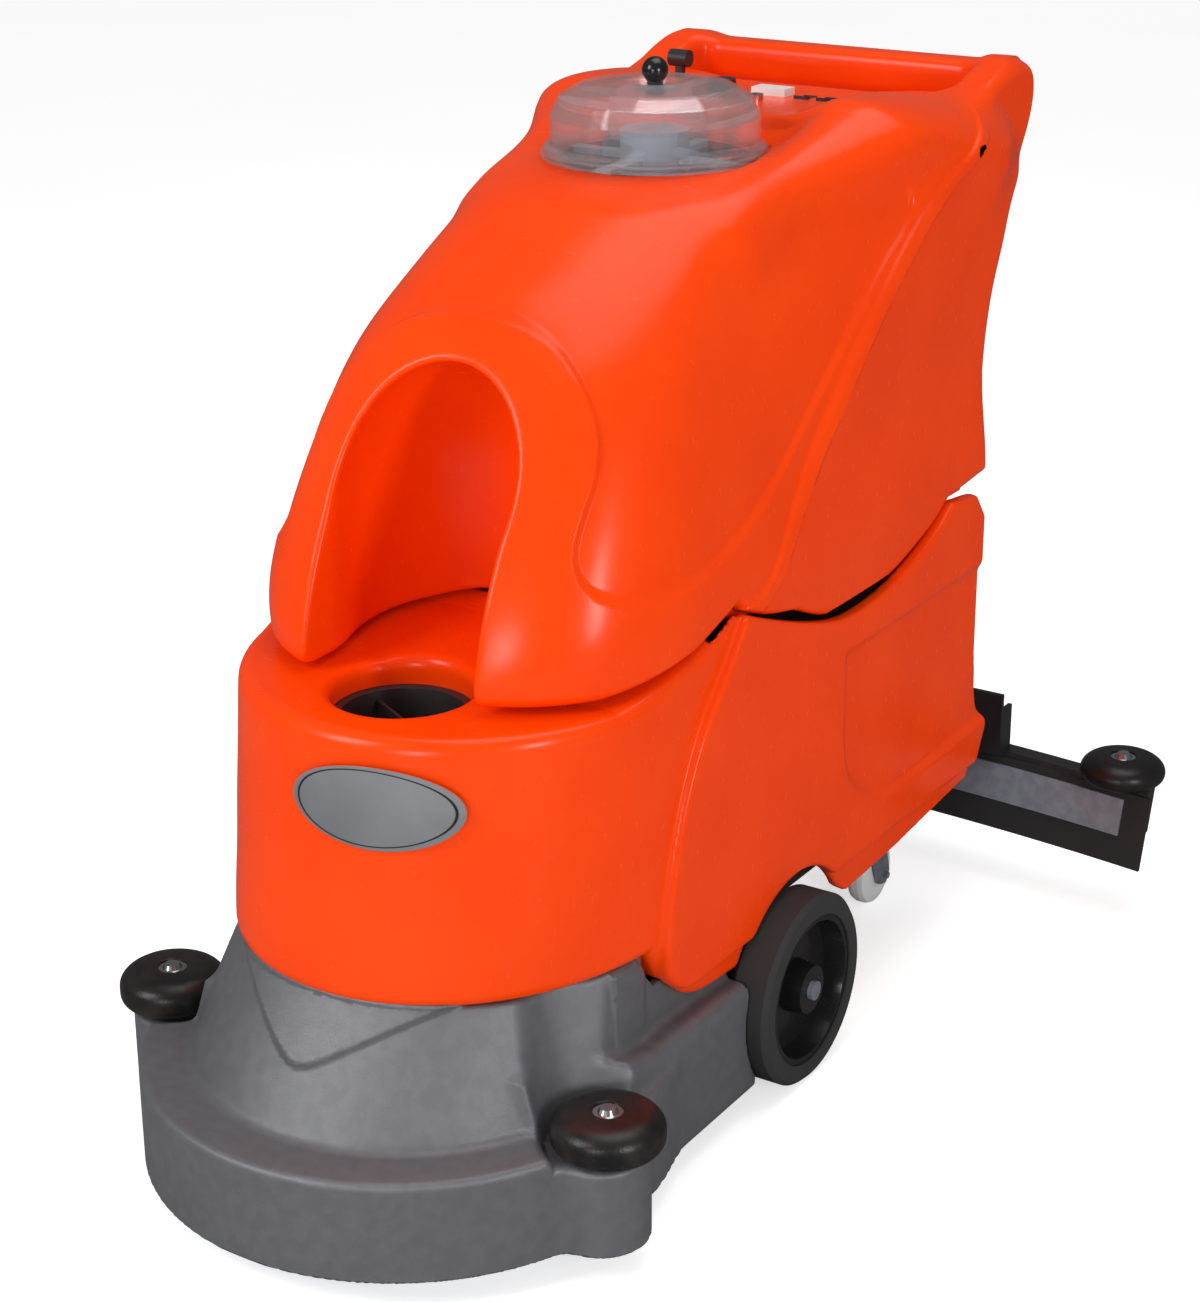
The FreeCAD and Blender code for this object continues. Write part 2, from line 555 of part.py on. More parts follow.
# ---------------------------------------------------------------- axle, wheels and tyres
axle_half = "wheel_outer_x + 3"
keep(rod("wheel_axle", "axle_radius", f"2 * ({axle_half})", (f"-({axle_half})", "0", "wheel_radius"), "x"),
     "wheel_axle")
collars = []
for tag, start in (("left", "rail_x + bracket_plate / 2"), ("right", "-(rail_x + bracket_plate / 2) - 14")):
    collars.append(ring(f"collar_{tag}", "axle_radius + 7", "axle_radius", "14", (start, "0", "wheel_radius"), "x"))
keep(group("axle_collars", collars), "axle_collars")
inner_x = "wheel_outer_x - wheel_width"
rim_profile = [
    ("axle_radius + running_gap", "1"), ("hub_radius", "1"), ("hub_radius", "12"),
    ("rim_radius - 7", "12"), ("rim_radius - 7", "2"), ("rim_radius", "2"),
    ("rim_radius", "wheel_width - 2"), ("rim_radius - 7", "wheel_width - 2"), ("rim_radius - 12", "20"),
    ("hub_radius + 3", "20"), ("hub_radius", "wheel_width - 2"), ("axle_radius + running_gap", "wheel_width - 2")]
tyre_profile = [
    ("rim_radius", "0"), ("wheel_radius - 5", "0"), ("wheel_radius", "5"),
    ("wheel_radius", "wheel_width - 5"), ("wheel_radius - 5", "wheel_width"), ("rim_radius", "wheel_width")]
for tag, mirrored in (("left", False), ("right", True)):
    base = (f"-({inner_x})" if mirrored else inner_x, "0", "wheel_radius")
    for label, profile in ((f"wheel_{tag}", rim_profile), (f"tyre_{tag}", tyre_profile)):
        points = [(r, f"-({h})") for r, h in profile] if mirrored else profile
        keep(turned(label, points, base, "x"), label)

# ---------------------------------------------------------------- casters
plates = []
for side in ("", "-"):
    tag = "right" if side else "left"
    plate_base = (f"{side}(caster_x)", "kingpin_y", "caster_top")
    plates.append(block(f"caster_plate_{tag}", ("64", "64", "4"), plate_base))
    pin_base = (f"{side}(caster_x)", "kingpin_y", "caster_top - 24")
    plates.append(rod(f"kingpin_{tag}", "kingpin_radius", "24", pin_base))
plates = [fuse("caster_mount_left", plates[:2]), fuse("caster_mount_right", plates[2:])]
keep(group("caster_plates", plates), "caster_plates")
for side in ("", "-"):
    tag = "right" if side else "left"
    x = f"{side}(caster_x)"
    wheel_y = "kingpin_y + caster_trail"
    head = ring(f"fork_head_{tag}", "25", "kingpin_radius + running_gap", "15", (x, "kingpin_y", "caster_top - 18"))
    legs = []
    for leg, offset in (("inner", "- caster_width / 2 - 5"), ("outer", "+ caster_width / 2 + 5")):
        legs.append(extruded(f"fork_{leg}_{tag}", "YZ_Plane", [
            ("kingpin_y - 16", "caster_top - 4"), ("kingpin_y + 16", "caster_top - 4"),
            (wheel_y + " + 12", "caster_radius + 2"), (wheel_y + " + 4", "caster_radius - 12"),
            (wheel_y + " - 12", "caster_radius - 8")], "5", (f"{x} {offset}", "0", "0")))
    bridge = block(f"fork_bridge_{tag}", ("caster_width + 15", "32", "7"), (x, "kingpin_y", "caster_top - 11"))
    pin_room = rod(f"fork_room_{tag}", "kingpin_radius + running_gap", "60", (x, "kingpin_y", "caster_top - 40"))
    rivet = rod(f"fork_rivet_{tag}", "caster_bolt_radius", "caster_width + 24",
                (f"{x} - caster_width / 2 - 12", wheel_y, "caster_radius"), "x")
    keep(cut(f"caster_fork_{tag}", fuse(f"fork_blank_{tag}", [head, bridge, rivet] + legs), [pin_room]),
         f"caster_fork_{tag}")
    keep(turned(f"caster_wheel_{tag}", [
        ("caster_bolt_radius + running_gap", "-caster_width / 2"), ("caster_radius - 12", "-caster_width / 2"),
        ("caster_radius - 2", "-caster_width / 2 + 4"), ("caster_radius", "-caster_width / 2 + 9"),
        ("caster_radius", "caster_width / 2 - 9"), ("caster_radius - 2", "caster_width / 2 - 4"),
        ("caster_radius - 12", "caster_width / 2"), ("caster_bolt_radius + running_gap", "caster_width / 2")],
        (x, wheel_y, "caster_radius"), "x"), f"caster_wheel_{tag}")

# ---------------------------------------------------------------- brush drive
deck_centre = ("0", "deck_y")
keep(cut("brush_motor", rod("motor_can", "motor_radius", "motor_height", deck_centre + ("plate_high",)),
         [rod("motor_recess", "motor_radius - 18", "6", deck_centre + ("plate_high + motor_height - 5",))]),
     "brush_motor")
gear_case = rod("gear_case", "gearbox_radius", "plate_low - gearbox_low", deck_centre + ("gearbox_low",))
output_shaft = rod("output_shaft", "shaft_radius", "32", deck_centre + ("gearbox_low - 31",))
keep(fuse("brush_gearbox", [gear_case, output_shaft]), "brush_gearbox")
hub_profile = [("shaft_radius + running_gap", "brush_block_low + 6"), ("48", "brush_block_low + 6"),
               ("48", "brush_block_high - 6"), ("22", "brush_block_high - 6"), ("22", "gearbox_low - 3"),
               ("shaft_radius + running_gap", "gearbox_low - 3")]
keep(turned("brush_hub", hub_profile, deck_centre + ("0",)), "brush_hub")
keep(turned("brush_block", [
    ("48", "brush_block_low"), ("brush_radius", "brush_block_low"), ("brush_radius", "brush_block_high - 6"),
    ("brush_radius - 8", "brush_block_high"), ("48", "brush_block_high")], deck_centre + ("0",)), "brush_block")
keep(ring("brush_bristles", "brush_radius - 6", "62", "brush_block_low", deck_centre + ("0",)), "brush_bristles")

# ---------------------------------------------------------------- guide rollers on the deck
bolts = []
for side in ("", "-"):
    tag = "right" if side else "left"
    x = f"{side}(roller_x)"
    keep(turned(f"front_roller_{tag}", [
        ("bolt_radius + running_gap", "roller_low + free_gap"), ("roller_radius", "roller_low + free_gap"),
        ("roller_radius", "roller_high - 3"), ("washer_radius + 3", "roller_high"),
        ("washer_radius + 3", "roller_high - 4"), ("bolt_radius + running_gap", "roller_high - 4")],
        (x, "roller_y", "0"), "z", ("9", lambda curve: curve.Radius > 45)), f"front_roller_{tag}")
    shank = rod(f"front_shank_{tag}", "bolt_radius", "60", (x, "roller_y", "roller_high - 62"))
    washer = rod(f"front_washer_{tag}", "washer_radius", "2", (x, "roller_y", "roller_high - 4 + free_gap"))
    head = cone(f"front_head_{tag}", "10", "7", "5", (x, "roller_y", "roller_high - 2.5"))
    bolts.append(fuse(f"front_bolt_{tag}", [shank, washer, head]))
keep(group("front_roller_bolts", bolts), "front_roller_bolts")

# ---------------------------------------------------------------- batteries
battery_x = "(battery_width + battery_gap) / 2"
for side in ("", "-"):
    tag = "right" if side else "left"
    x = f"{side}({battery_x})"
    case = block(f"battery_case_{tag}", ("battery_width", "battery_length", "battery_height"),
                 (x, "battery_y", "floor_z"))
    posts = [cone(f"post_{end}_{tag}", "9", "8", "16", (x, y, "floor_z + battery_height"))
             for end, y in (("front", "battery_y - battery_length / 2 + 30"),
                            ("rear", "battery_y + battery_length / 2 - 30"))]
    keep(fuse(f"battery_{tag}", [case] + posts), f"battery_{tag}")
battery_middle = (size.battery_width + size.battery_gap) / 2
post_y = size.battery_y - size.battery_length / 2 + 30
post_top = size.floor_z + size.battery_height + 16
LEAD_ROUTE = [(-battery_middle, post_y, post_top), (-battery_middle, post_y, post_top + 14),
              (-battery_middle + 18, post_y, post_top + 27), (-battery_middle + 45, post_y - 4, post_top + 30),
              (0, post_y - 8, post_top + 28), (battery_middle - 45, post_y - 4, post_top + 30),
              (battery_middle - 18, post_y, post_top + 27), (battery_middle, post_y, post_top + 14),
              (battery_middle, post_y, post_top)]
keep(shaped("battery_lead", route_tube(LEAD_ROUTE, 4.5)), "battery_lead")

# ---------------------------------------------------------------- vacuum motor between chamber and batteries
vacuum_low = rod("vacuum_low", "vacuum_radius", "vacuum_height / 2", ("0", "vacuum_y", "floor_z"))
vacuum_high = rod("vacuum_high", "vacuum_radius - 12", "vacuum_height / 2 + 20",
                  ("0", "vacuum_y", "floor_z + vacuum_height / 2"))
keep(fuse("vacuum_motor", [vacuum_low, vacuum_high]), "vacuum_motor")

# ---------------------------------------------------------------- solution valve and feed hose
valve_body = block("valve_body", ("40", "36", "30"), ("90", "valve_y", "rail_low + 8"))
valve_coil = rod("valve_coil", "13", "26", ("50", "valve_y", "rail_low + 23"), "x")
valve_spout = rod("valve_spout", "5", "22", ("90", "valve_y - 40", "rail_low + 23"), "y")
keep(fuse("solution_valve", [valve_body, valve_coil, valve_spout]), "solution_valve")
spout_z = size.rail_low + 23
spout_y = size.valve_y - 40
hose_foot_y = size.deck_y + 60
FEED_ROUTE = [(90, spout_y, spout_z), (90, spout_y - 14, spout_z), (90, spout_y - 33, spout_z - 2),
              (90, spout_y - 52, spout_z - 10), (90, spout_y - 67, spout_z - 25),
              (90, hose_foot_y, spout_z - 44), (90, hose_foot_y, size.plate_high)]
keep(shaped("feed_hose", route_tube(FEED_ROUTE, 6, 4)), "feed_hose")

# ---------------------------------------------------------------- lid, float and dashboard
lid_low = "plateau_z - 3"
keep(ring("lid_seal", "lid_radius + 3.5", "neck_radius + 1", "5", ("0", "lid_y", lid_low)), "lid_seal")
lid_base = "plateau_z + 2.3"
keep(turned("lid_dome", [
    ("lid_radius - 11", lid_base), ("lid_radius", lid_base), ("lid_radius", lid_base + " + 5"),
    ("lid_radius - 5", lid_base + " + 7"), ("lid_radius - 5", lid_base + " + 34"),
    ("lid_radius - 14", lid_base + " + 52"), ("lid_radius - 32", lid_base + " + 62"),
    ("30", lid_base + " + 66"), ("22", lid_base + " + 61"), ("5.05", lid_base + " + 60"),
    ("5.05", lid_base + " + 57"), ("24", lid_base + " + 58"), ("31", lid_base + " + 63"),
    ("lid_radius - 33", lid_base + " + 59"), ("lid_radius - 16.5", lid_base + " + 49.5"),
    ("lid_radius - 8", lid_base + " + 33"), ("lid_radius - 8", lid_base + " + 3"),
    ("lid_radius - 11", lid_base + " + 3")], ("0", "lid_y", "0")), "lid_dome")
knob_low = lid_base + " + 60.3"
knob_stem = rod("knob_stem", "5", "26", ("0", "lid_y", lid_base + " + 52"))
knob_neck = rod("knob_neck", "8", "6", ("0", "lid_y", knob_low))
knob_nut = rod("knob_nut", "9", "4", ("0", "lid_y", lid_base + " + 52.7"))
knob_ball = doc.addObject("Part::Sphere", "knob_ball")
bind(knob_ball, "Radius", "13")
place(knob_ball, ("0", "lid_y", knob_low + " + 16"))
keep(fuse("lid_knob", [knob_stem, knob_neck, knob_nut, knob_ball]), "lid_knob")
cage_tube = ring("cage_tube", "34", "31", "150", ("0", "lid_y", "plateau_z - 132"))
cage_cap = rod("cage_cap", "34", "4", ("0", "lid_y", "plateau_z + 18"))
cage_foot = ring("cage_foot", "34", "20", "4", ("0", "lid_y", "plateau_z - 136"))
cage_arms = [block("cage_arm_x", ("2 * neck_radius - 0.6", "16", "6"), ("0", "lid_y", "plateau_z - 9")),
             block("cage_arm_y", ("16", "2 * neck_radius - 0.6", "6"), ("0", "lid_y", "plateau_z - 9"))]
cage_room = rod("cage_room", "31", "60", ("0", "lid_y", "plateau_z - 50"))
cage_slots = [block("cage_slot_x", ("90", "22", "60"), ("0", "lid_y", "plateau_z - 100")),
              block("cage_slot_y", ("22", "90", "60"), ("0", "lid_y", "plateau_z - 100"))]
cage_blank = fuse("cage_blank", [cage_tube, cage_cap, cage_foot] + cage_arms)
keep(cut("float_cage", cage_blank, [cage_room] + cage_slots), "float_cage")
float_ball = doc.addObject("Part::Sphere", "float_ball")
bind(float_ball, "Radius", "26")
place(float_ball, ("0", "lid_y", "plateau_z - 132 + 17"))
keep(float_ball, "float_ball")

panel_blank = block("panel_blank", ("panel_length", "panel_depth", "panel_thick"),
                    ("0", "panel_y", "plateau_z + 14.3"))
panel_cuts = [block(f"switch_slot_{tag}", ("15.6", "24.8", "20"), (x, "panel_y + 20", "plateau_z + 10"))
              for tag, x in (("brush", "40"), ("vacuum", "66"))]
panel_cuts.append(rod("knob_slot", "5", "20", ("-60", "panel_y + 20", "plateau_z + 10")))
panel_cuts.append(block("lever_slot", ("12", "70", "20"), ("-100", "panel_y", "plateau_z + 10")))
keep(cut("control_panel", panel_blank, panel_cuts), "control_panel")
top = "plateau_z + 14.3 + panel_thick"
for tag, x in (("brush", "40"), ("vacuum", "66")):
    keep(extruded(f"switch_{tag}", "YZ_Plane", [
        ("-11", "-4"), ("11", "-4"), ("12", "2"), ("0", "1"), ("-12", "5"), ("-12", "0")],
        "15", (x, "panel_y + 20", top)), f"switch_{tag}")
knob_post = rod("water_post", "4.6", "8", ("-60", "panel_y + 20", top + " - panel_thick + 0.5"))
knob_cap = cone("water_cap", "16", "14", "13", ("-60", "panel_y + 20", top + " + free_gap"))
keep(fuse("water_knob", [knob_post, knob_cap]), "water_knob")
keep(block("battery_gauge", ("40", "22", "9"), ("0", "panel_y + 22", top)), "battery_gauge")
key_barrel = rod("key_barrel", "9", "7", ("0", "panel_y - 16", top))
key_room = block("key_room", ("3", "9", "10"), ("0", "panel_y - 16", top + " + 3"))
keep(cut("key_switch", key_barrel, [key_room]), "key_switch")
lever_hub = rod("lever_hub", "5.6", "8", ("-104", "panel_y", top), "x")
lever_arm = block("lever_arm", ("8", "8", "30"), ("-100", "panel_y", top))
lever_grip = rod("lever_grip", "9", "22", ("-111", "panel_y", top + " + 34"), "x")
keep(fuse("squeegee_lever", [lever_hub, lever_arm, lever_grip]), "squeegee_lever")
screws = []
for number, (across, along) in enumerate(((1, 1), (-1, 1), (1, -1), (-1, -1))):
    corner = (f"{across} * (panel_length / 2 - 8)", f"panel_y + {along} * (panel_depth / 2 - 8)", top)
    screws.append(cone(f"panel_screw_{number}", "4.5", "3", "2", corner))
keep(group("panel_screws", screws), "panel_screws")

# ---------------------------------------------------------------- tank hinge
hinge_line_y = "rear_y + 14"
hinge_line_z = "hinge_z - 8"


def hinge_leaf(name, side, spots, bore_radius, flap, web_depth, web_base_y, web_base_z, web_height):
    """One leaf of a butt hinge: a flap, webs and knuckles, bored along the hinge line."""
    pieces = [flap]
    for number, spot in enumerate(spots):
        x = f"{side}(150) + ({spot})"
        pieces.append(rod(f"{name}_knuckle_{number}", "6.5", "7.4", (f"{x} - 3.7", hinge_line_y, hinge_line_z), "x"))
        pieces.append(block(f"{name}_web_{number}", ("7.4", web_depth, web_height), (x, web_base_y, web_base_z)))
    bore = rod(f"{name}_bore", bore_radius, "60", (f"{side}(150) - 30", hinge_line_y, hinge_line_z), "x")
    return cut(name, fuse(name + "_blank", pieces), [bore])


low_leaves = []
high_leaves = []
for side in ("", "-"):
    tag = "right" if side else "left"
    low_flap = block(f"low_flap_{tag}", ("40", "6", "36"), (f"{side}(150)", "rear_y + 3", "hinge_z - 54"))
    low_leaf = hinge_leaf(f"low_leaf_{tag}", side, (-16, 0, 16), "3", low_flap, "9", "rear_y + 7.5",
                          "hinge_z - 24", "14")
    pin = rod(f"hinge_pin_{tag}", "3", "44", (f"{side}(150) - 22", hinge_line_y, hinge_line_z), "x")
    low_leaves.append(fuse(f"low_hinge_{tag}", [low_leaf, pin]))
    high_flap = block(f"high_flap_{tag}", ("24", "5", "34"), (f"{side}(150)", "rear_y + 16", "hinge_z + 12"))
    high_leaves.append(hinge_leaf(f"high_leaf_{tag}", side, (-8, 8), "3 + running_gap", high_flap, "6",
                                  "rear_y + 16.5", "hinge_z - 4", "18"))
keep(group("hinge_leaf_low", low_leaves), "hinge_leaf_low")
keep(group("hinge_leaf_high", high_leaves), "hinge_leaf_high")

# ---------------------------------------------------------------- squeegee
keep(rod("squeegee_pivot", "pivot_radius", "136", ("-68", "pivot_y", "pivot_z"), "x"), "squeegee_pivot")
arm_plates = []
for side in ("", "-"):
    tag = "right" if side else "left"
    arm_plates.append(extruded(f"arm_plate_{tag}", "YZ_Plane", [
        ("pivot_y - 14", "pivot_z - 14"), ("carrier_y - 6", "pivot_z - 14"), ("carrier_y - 6", "channel_high + 40"),
        ("carrier_y - 26", "channel_high + 40"), ("carrier_y - 44", "pivot_z + 14"),
        ("pivot_y - 14", "pivot_z + 14")], "6", (f"{side}(50)", "0", "0")))
arm_tie = block("arm_tie", ("106", "6", "50"), ("0", "carrier_y - 9", "channel_high - 10"))
arm_bore = rod("arm_bore", "pivot_radius + running_gap", "160", ("-80", "pivot_y", "pivot_z"), "x")
keep(cut("squeegee_arm", fuse("arm_blank", arm_plates + [arm_tie]), [arm_bore]), "squeegee_arm")

squeegee_arc = (size.squeegee_half ** 2 + size.squeegee_sag ** 2) / (2 * size.squeegee_sag)
slope = math.tan(math.radians(size.squeegee_lean))


def squeegee_band(front, rear, low, high, half):
    """A wall of the curved squeegee: from front to rear of its centre line, leaning back as it rises."""
    centre = Vector(0, size.squeegee_y - squeegee_arc, low)
    lean_low = (low - size.channel_low) * slope
    lean_high = (high - size.channel_low) * slope
    walls = [Part.makeCone(squeegee_arc + offset + lean_low, squeegee_arc + offset + lean_high, high - low, centre)
             for offset in (rear, front)]
    window = box_between((-half, size.squeegee_y - 120, low - 1), (half, size.squeegee_y + 120, high + 1))
    return walls[0].common(window).cut(walls[1])


film = 2 * size.running_gap
half_depth = size.channel_depth / 2
front_face = -half_depth - size.blade_thick
rear_face = half_depth + size.blade_thick
channel = squeegee_band(-half_depth, half_depth, size.channel_low, size.channel_high, size.squeegee_half - 6)
for side in (-1, 1):
    ear = Part.makeCylinder(20, 6, Vector(side * size.tail_roller_x, size.tail_roller_y, size.channel_high - 6))
    ear_hole = Part.makeCylinder(size.bolt_radius, 80,
                                 Vector(side * size.tail_roller_x, size.tail_roller_y, size.channel_high - 60))
    channel = channel.fuse(ear).cut(ear_hole)
suction_slot = Part.makeCylinder(size.hose_bore, 90, Vector(0, size.squeegee_y + 8, size.channel_low - 10))
keep(shaped("squeegee_channel", channel.cut(suction_slot)), "squeegee_channel")
blade_high = size.channel_high - 6.5
front_blade = squeegee_band(front_face, -half_depth - film, size.blade_low, blade_high, size.squeegee_half)
rear_blade = squeegee_band(half_depth + film, rear_face, size.blade_low, blade_high, size.squeegee_half - 10)
keep(shaped("squeegee_blade_front", front_blade), "squeegee_blade_front")
keep(shaped("squeegee_blade_rear", rear_blade), "squeegee_blade_rear")
strips = [squeegee_band(near, far, size.channel_low - 2, size.channel_high - 14, size.squeegee_half - 32)
          for near, far in ((front_face - size.strip_thick, front_face - film),
                            (rear_face + film, rear_face + size.strip_thick))]
keep(shaped("squeegee_strips", Part.makeCompound(strips)), "squeegee_strips")

carrier_plate = block("carrier_plate", ("2 * carrier_half", "6", "carrier_top - channel_high"),
                      ("0", "carrier_y - 3 + 0.5", "channel_high"))
carrier_flange = block("carrier_flange", ("2 * carrier_half - 20", "squeegee_y + 20 - carrier_y", "4"),
                       ("0", "(squeegee_y + 20 + carrier_y) / 2", "channel_high"))
carrier_cheeks = [block(f"carrier_cheek_{tag}", ("5", "26", "carrier_top - channel_high - 20"),
                        (f"{side}(carrier_half - 2.5)", "carrier_y + 11", "channel_high"))
                  for side, tag in (("", "left"), ("-", "right"))]
carrier_port = rod("carrier_port", "hose_radius + 3 + running_gap", "20", ("0", "squeegee_y + 8", "channel_high - 5"))
carrier_blank = fuse("carrier_blank", [carrier_plate, carrier_flange] + carrier_cheeks)
keep(cut("squeegee_carrier", carrier_blank, [carrier_port]), "squeegee_carrier")


def elbow(wall_point, turn_point, open_point):
    """A round pipe fitting from a wall to a corner and out to a hose."""
    corners = [Vector(*wall_point), Vector(*turn_point), Vector(*open_point)]
    solids = []
    for radius in (size.hose_radius + 3, size.hose_bore):
        first = Part.makeCylinder(radius, (corners[1] - corners[0]).Length, corners[0], corners[1] - corners[0])
        second = Part.makeCylinder(radius, (corners[2] - corners[1]).Length, corners[1], corners[2] - corners[1])
        solids.append(first.fuse([second, Part.makeSphere(radius, corners[1])]))
    return solids[0].cut(solids[1])


hose_y = size.squeegee_y + 8
keep(shaped("squeegee_collector", elbow((0, hose_y, size.channel_high), (0, hose_y, size.elbow_z),
                                        (size.elbow_x, hose_y, size.elbow_z))), "squeegee_collector")
port = elbow((0, size.rear_y, size.port_z), (0, size.port_y, size.port_z), (size.elbow_x, size.port_y, size.port_z))
flange = Part.makeCylinder(34, 6, Vector(0, size.rear_y, size.port_z), Vector(0, 1, 0))
flange = flange.cut(Part.makeCylinder(size.hose_bore, 20, Vector(0, size.rear_y - 5, size.port_z), Vector(0, 1, 0)))
keep(shaped("suction_port", port.fuse(flange)), "suction_port")
HOSE_ROUTE = [(size.elbow_x, hose_y, size.elbow_z), (size.elbow_x - 32, hose_y, size.elbow_z),
              (size.elbow_x - 80, hose_y - 4, size.elbow_z + 8),
              (size.elbow_x - 125, hose_y - 18, size.elbow_z + 36),
              (size.elbow_x - 148, hose_y - 42, size.elbow_z + 84),
              (size.elbow_x - 130, size.port_y + 22, size.port_z - 36),
              (size.elbow_x - 84, size.port_y + 5, size.port_z - 9),
              (size.elbow_x - 34, size.port_y, size.port_z), (size.elbow_x, size.port_y, size.port_z)]
keep(shaped("suction_hose", route_tube(HOSE_ROUTE, size.hose_radius, size.hose_bore)), "suction_hose")

tail_bolts = []
for side in ("", "-"):
    tag = "right" if side else "left"
    x = f"{side}(tail_roller_x)"
    keep(turned(f"squeegee_roller_{tag}", [
        ("bolt_radius + running_gap", "tail_roller_low"), ("tail_roller_radius", "tail_roller_low"),
        ("tail_roller_radius", "tail_roller_high - 3"), ("washer_radius + 3", "tail_roller_high"),
        ("washer_radius + 3", "tail_roller_high - 4"), ("bolt_radius + running_gap", "tail_roller_high - 4")],
        (x, "tail_roller_y", "0"), "z", ("8", lambda curve: curve.Radius > 41)), f"squeegee_roller_{tag}")
    shank = rod(f"tail_shank_{tag}", "bolt_radius", "36", (x, "tail_roller_y", "tail_roller_high - 37"))
    washer = rod(f"tail_washer_{tag}", "washer_radius", "2", (x, "tail_roller_y", "tail_roller_high - 4 + free_gap"))
    head = cone(f"tail_head_{tag}", "10", "7", "5", (x, "tail_roller_y", "tail_roller_high - 2.5"))
    tail_bolts.append(fuse(f"tail_bolt_{tag}", [shank, washer, head]))
keep(group("squeegee_roller_bolts", tail_bolts), "squeegee_roller_bolts")
hand_knobs = []
for side in ("", "-"):
    tag = "right" if side else "left"
    stud = rod(f"knob_stud_{tag}", "4", "14", (f"{side}(110)", "squeegee_y + 5", "channel_high + 4"))
    grip = rod(f"knob_grip_{tag}", "15", "14", (f"{side}(110)", "squeegee_y + 5", "channel_high + 12"))
    hand_knobs.append(fuse(f"hand_knob_{tag}", [stud, grip]))
keep(group("squeegee_knobs", hand_knobs), "squeegee_knobs")

# ---------------------------------------------------------------- checks and files
doc.recompute()
for item in doc.Objects:
    if any(state in ("Invalid", "Error") for state in item.State):
        raise RuntimeError(f"{item.Name} did not build: {item.State}")
for item in nodes:
    if item.Shape.isNull() or not item.Shape.isValid() or not item.Shape.Solids:
        raise RuntimeError(f"{item.Label} has no sound solid")
os.makedirs("parts", exist_ok=True)
whole = FreeCAD.BoundBox()
for item in nodes:
    item.Shape.exportStep(f"parts/{item.Label}.step")
    whole.add(item.Shape.BoundBox)
print(f"{len(nodes)} sub-parts, box {whole}")
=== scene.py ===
"""Looks of a walk-behind floor scrubber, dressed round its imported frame.

Everything is in metres in the frame's own axes: +Z up, the machine's front faces -Y, its left is +X.
The moulded shells are worked out as distance fields in millimetres and meshed from them, so that every
edge has the soft radius of a rotational moulding. The other pieces are shaped with mesh operators.
"""
import logging
import math
from dataclasses import dataclass, field, replace
from typing import Callable, Dict, List, Sequence, Tuple

import bpy
import numpy as np
from mathutils import Matrix, Vector

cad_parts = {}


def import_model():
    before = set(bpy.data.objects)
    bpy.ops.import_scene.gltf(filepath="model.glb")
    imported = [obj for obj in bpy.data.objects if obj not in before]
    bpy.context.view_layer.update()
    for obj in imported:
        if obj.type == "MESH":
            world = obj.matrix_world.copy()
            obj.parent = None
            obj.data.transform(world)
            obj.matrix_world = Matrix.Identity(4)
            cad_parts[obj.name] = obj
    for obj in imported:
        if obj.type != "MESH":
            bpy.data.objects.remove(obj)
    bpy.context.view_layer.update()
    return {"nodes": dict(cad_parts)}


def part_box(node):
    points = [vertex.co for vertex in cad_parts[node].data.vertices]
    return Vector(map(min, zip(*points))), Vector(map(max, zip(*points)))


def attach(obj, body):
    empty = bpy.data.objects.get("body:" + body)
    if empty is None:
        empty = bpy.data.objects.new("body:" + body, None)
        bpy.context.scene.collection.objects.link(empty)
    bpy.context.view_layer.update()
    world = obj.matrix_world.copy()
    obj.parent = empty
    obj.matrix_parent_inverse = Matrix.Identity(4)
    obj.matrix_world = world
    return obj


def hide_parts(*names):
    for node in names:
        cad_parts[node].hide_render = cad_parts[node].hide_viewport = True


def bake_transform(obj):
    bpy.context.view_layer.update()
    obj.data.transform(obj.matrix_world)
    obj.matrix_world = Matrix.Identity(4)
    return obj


LOG = logging.getLogger("scrubber")
MM = 0.001
NO_LENGTH = 1e-9
FAR_AWAY = 1e12

Grid = np.ndarray
Point2 = Tuple[float, float]
Point3 = Tuple[float, float, float]
Field = Callable[[Grid, Grid, Grid], Grid]


# ------------------------------------------------------------------------------------------------
# Distance-field tools: lengths in millimetres
# ------------------------------------------------------------------------------------------------
def soft_min(first: Grid, second: Grid, blend: float | Grid) -> Grid:
    """Joins two fields with a fillet.

    Args:
        first: one field.
        second: the other field.
        blend: width over which the two flow together.

    Returns:
        The joined field.
    """
    overlap = np.maximum(blend - np.abs(first - second), 0.0) / blend
    return np.minimum(first, second) - overlap * overlap * blend * 0.25


def soft_max(first: Grid, second: Grid, blend: float | Grid) -> Grid:
    """Keeps what two fields share, with a rounded edge.

    Args:
        first: one field.
        second: the other field.
        blend: width over which the edge is rounded.

    Returns:
        The shared field.
    """
    return -soft_min(-first, -second, blend)


def ramp(value: Grid, low: float, high: float) -> Grid:
    """Rises smoothly from 0 at low to 1 at high."""
    share = np.clip((value - low) / (high - low), 0.0, 1.0)
    return share * share * (3.0 - 2.0 * share)


def flowing(points: Sequence[Point2], steps: int = 8) -> List[Point2]:
    """Draws a smooth run through a few points.

    Args:
        points: the points that the run passes through.
        steps: short lines between two of them.

    Returns:
        The points of the run, both ends included.
    """
    nodes = np.asarray(points, float)
    padded = np.vstack([2 * nodes[0] - nodes[1], nodes, 2 * nodes[-1] - nodes[-2]])
    run: List[Point2] = []
    for index in range(1, len(padded) - 2):
        before, start, end, after = padded[index - 1:index + 3]
        for step in range(steps):
            share = step / steps
            spot = 0.5 * (2 * start + (end - before) * share
                          + (2 * before - 5 * start + 4 * end - after) * share ** 2
                          + (3 * start - before - 3 * end + after) * share ** 3)
            run.append((float(spot[0]), float(spot[1])))
    run.append((float(nodes[-1][0]), float(nodes[-1][1])))
    return run


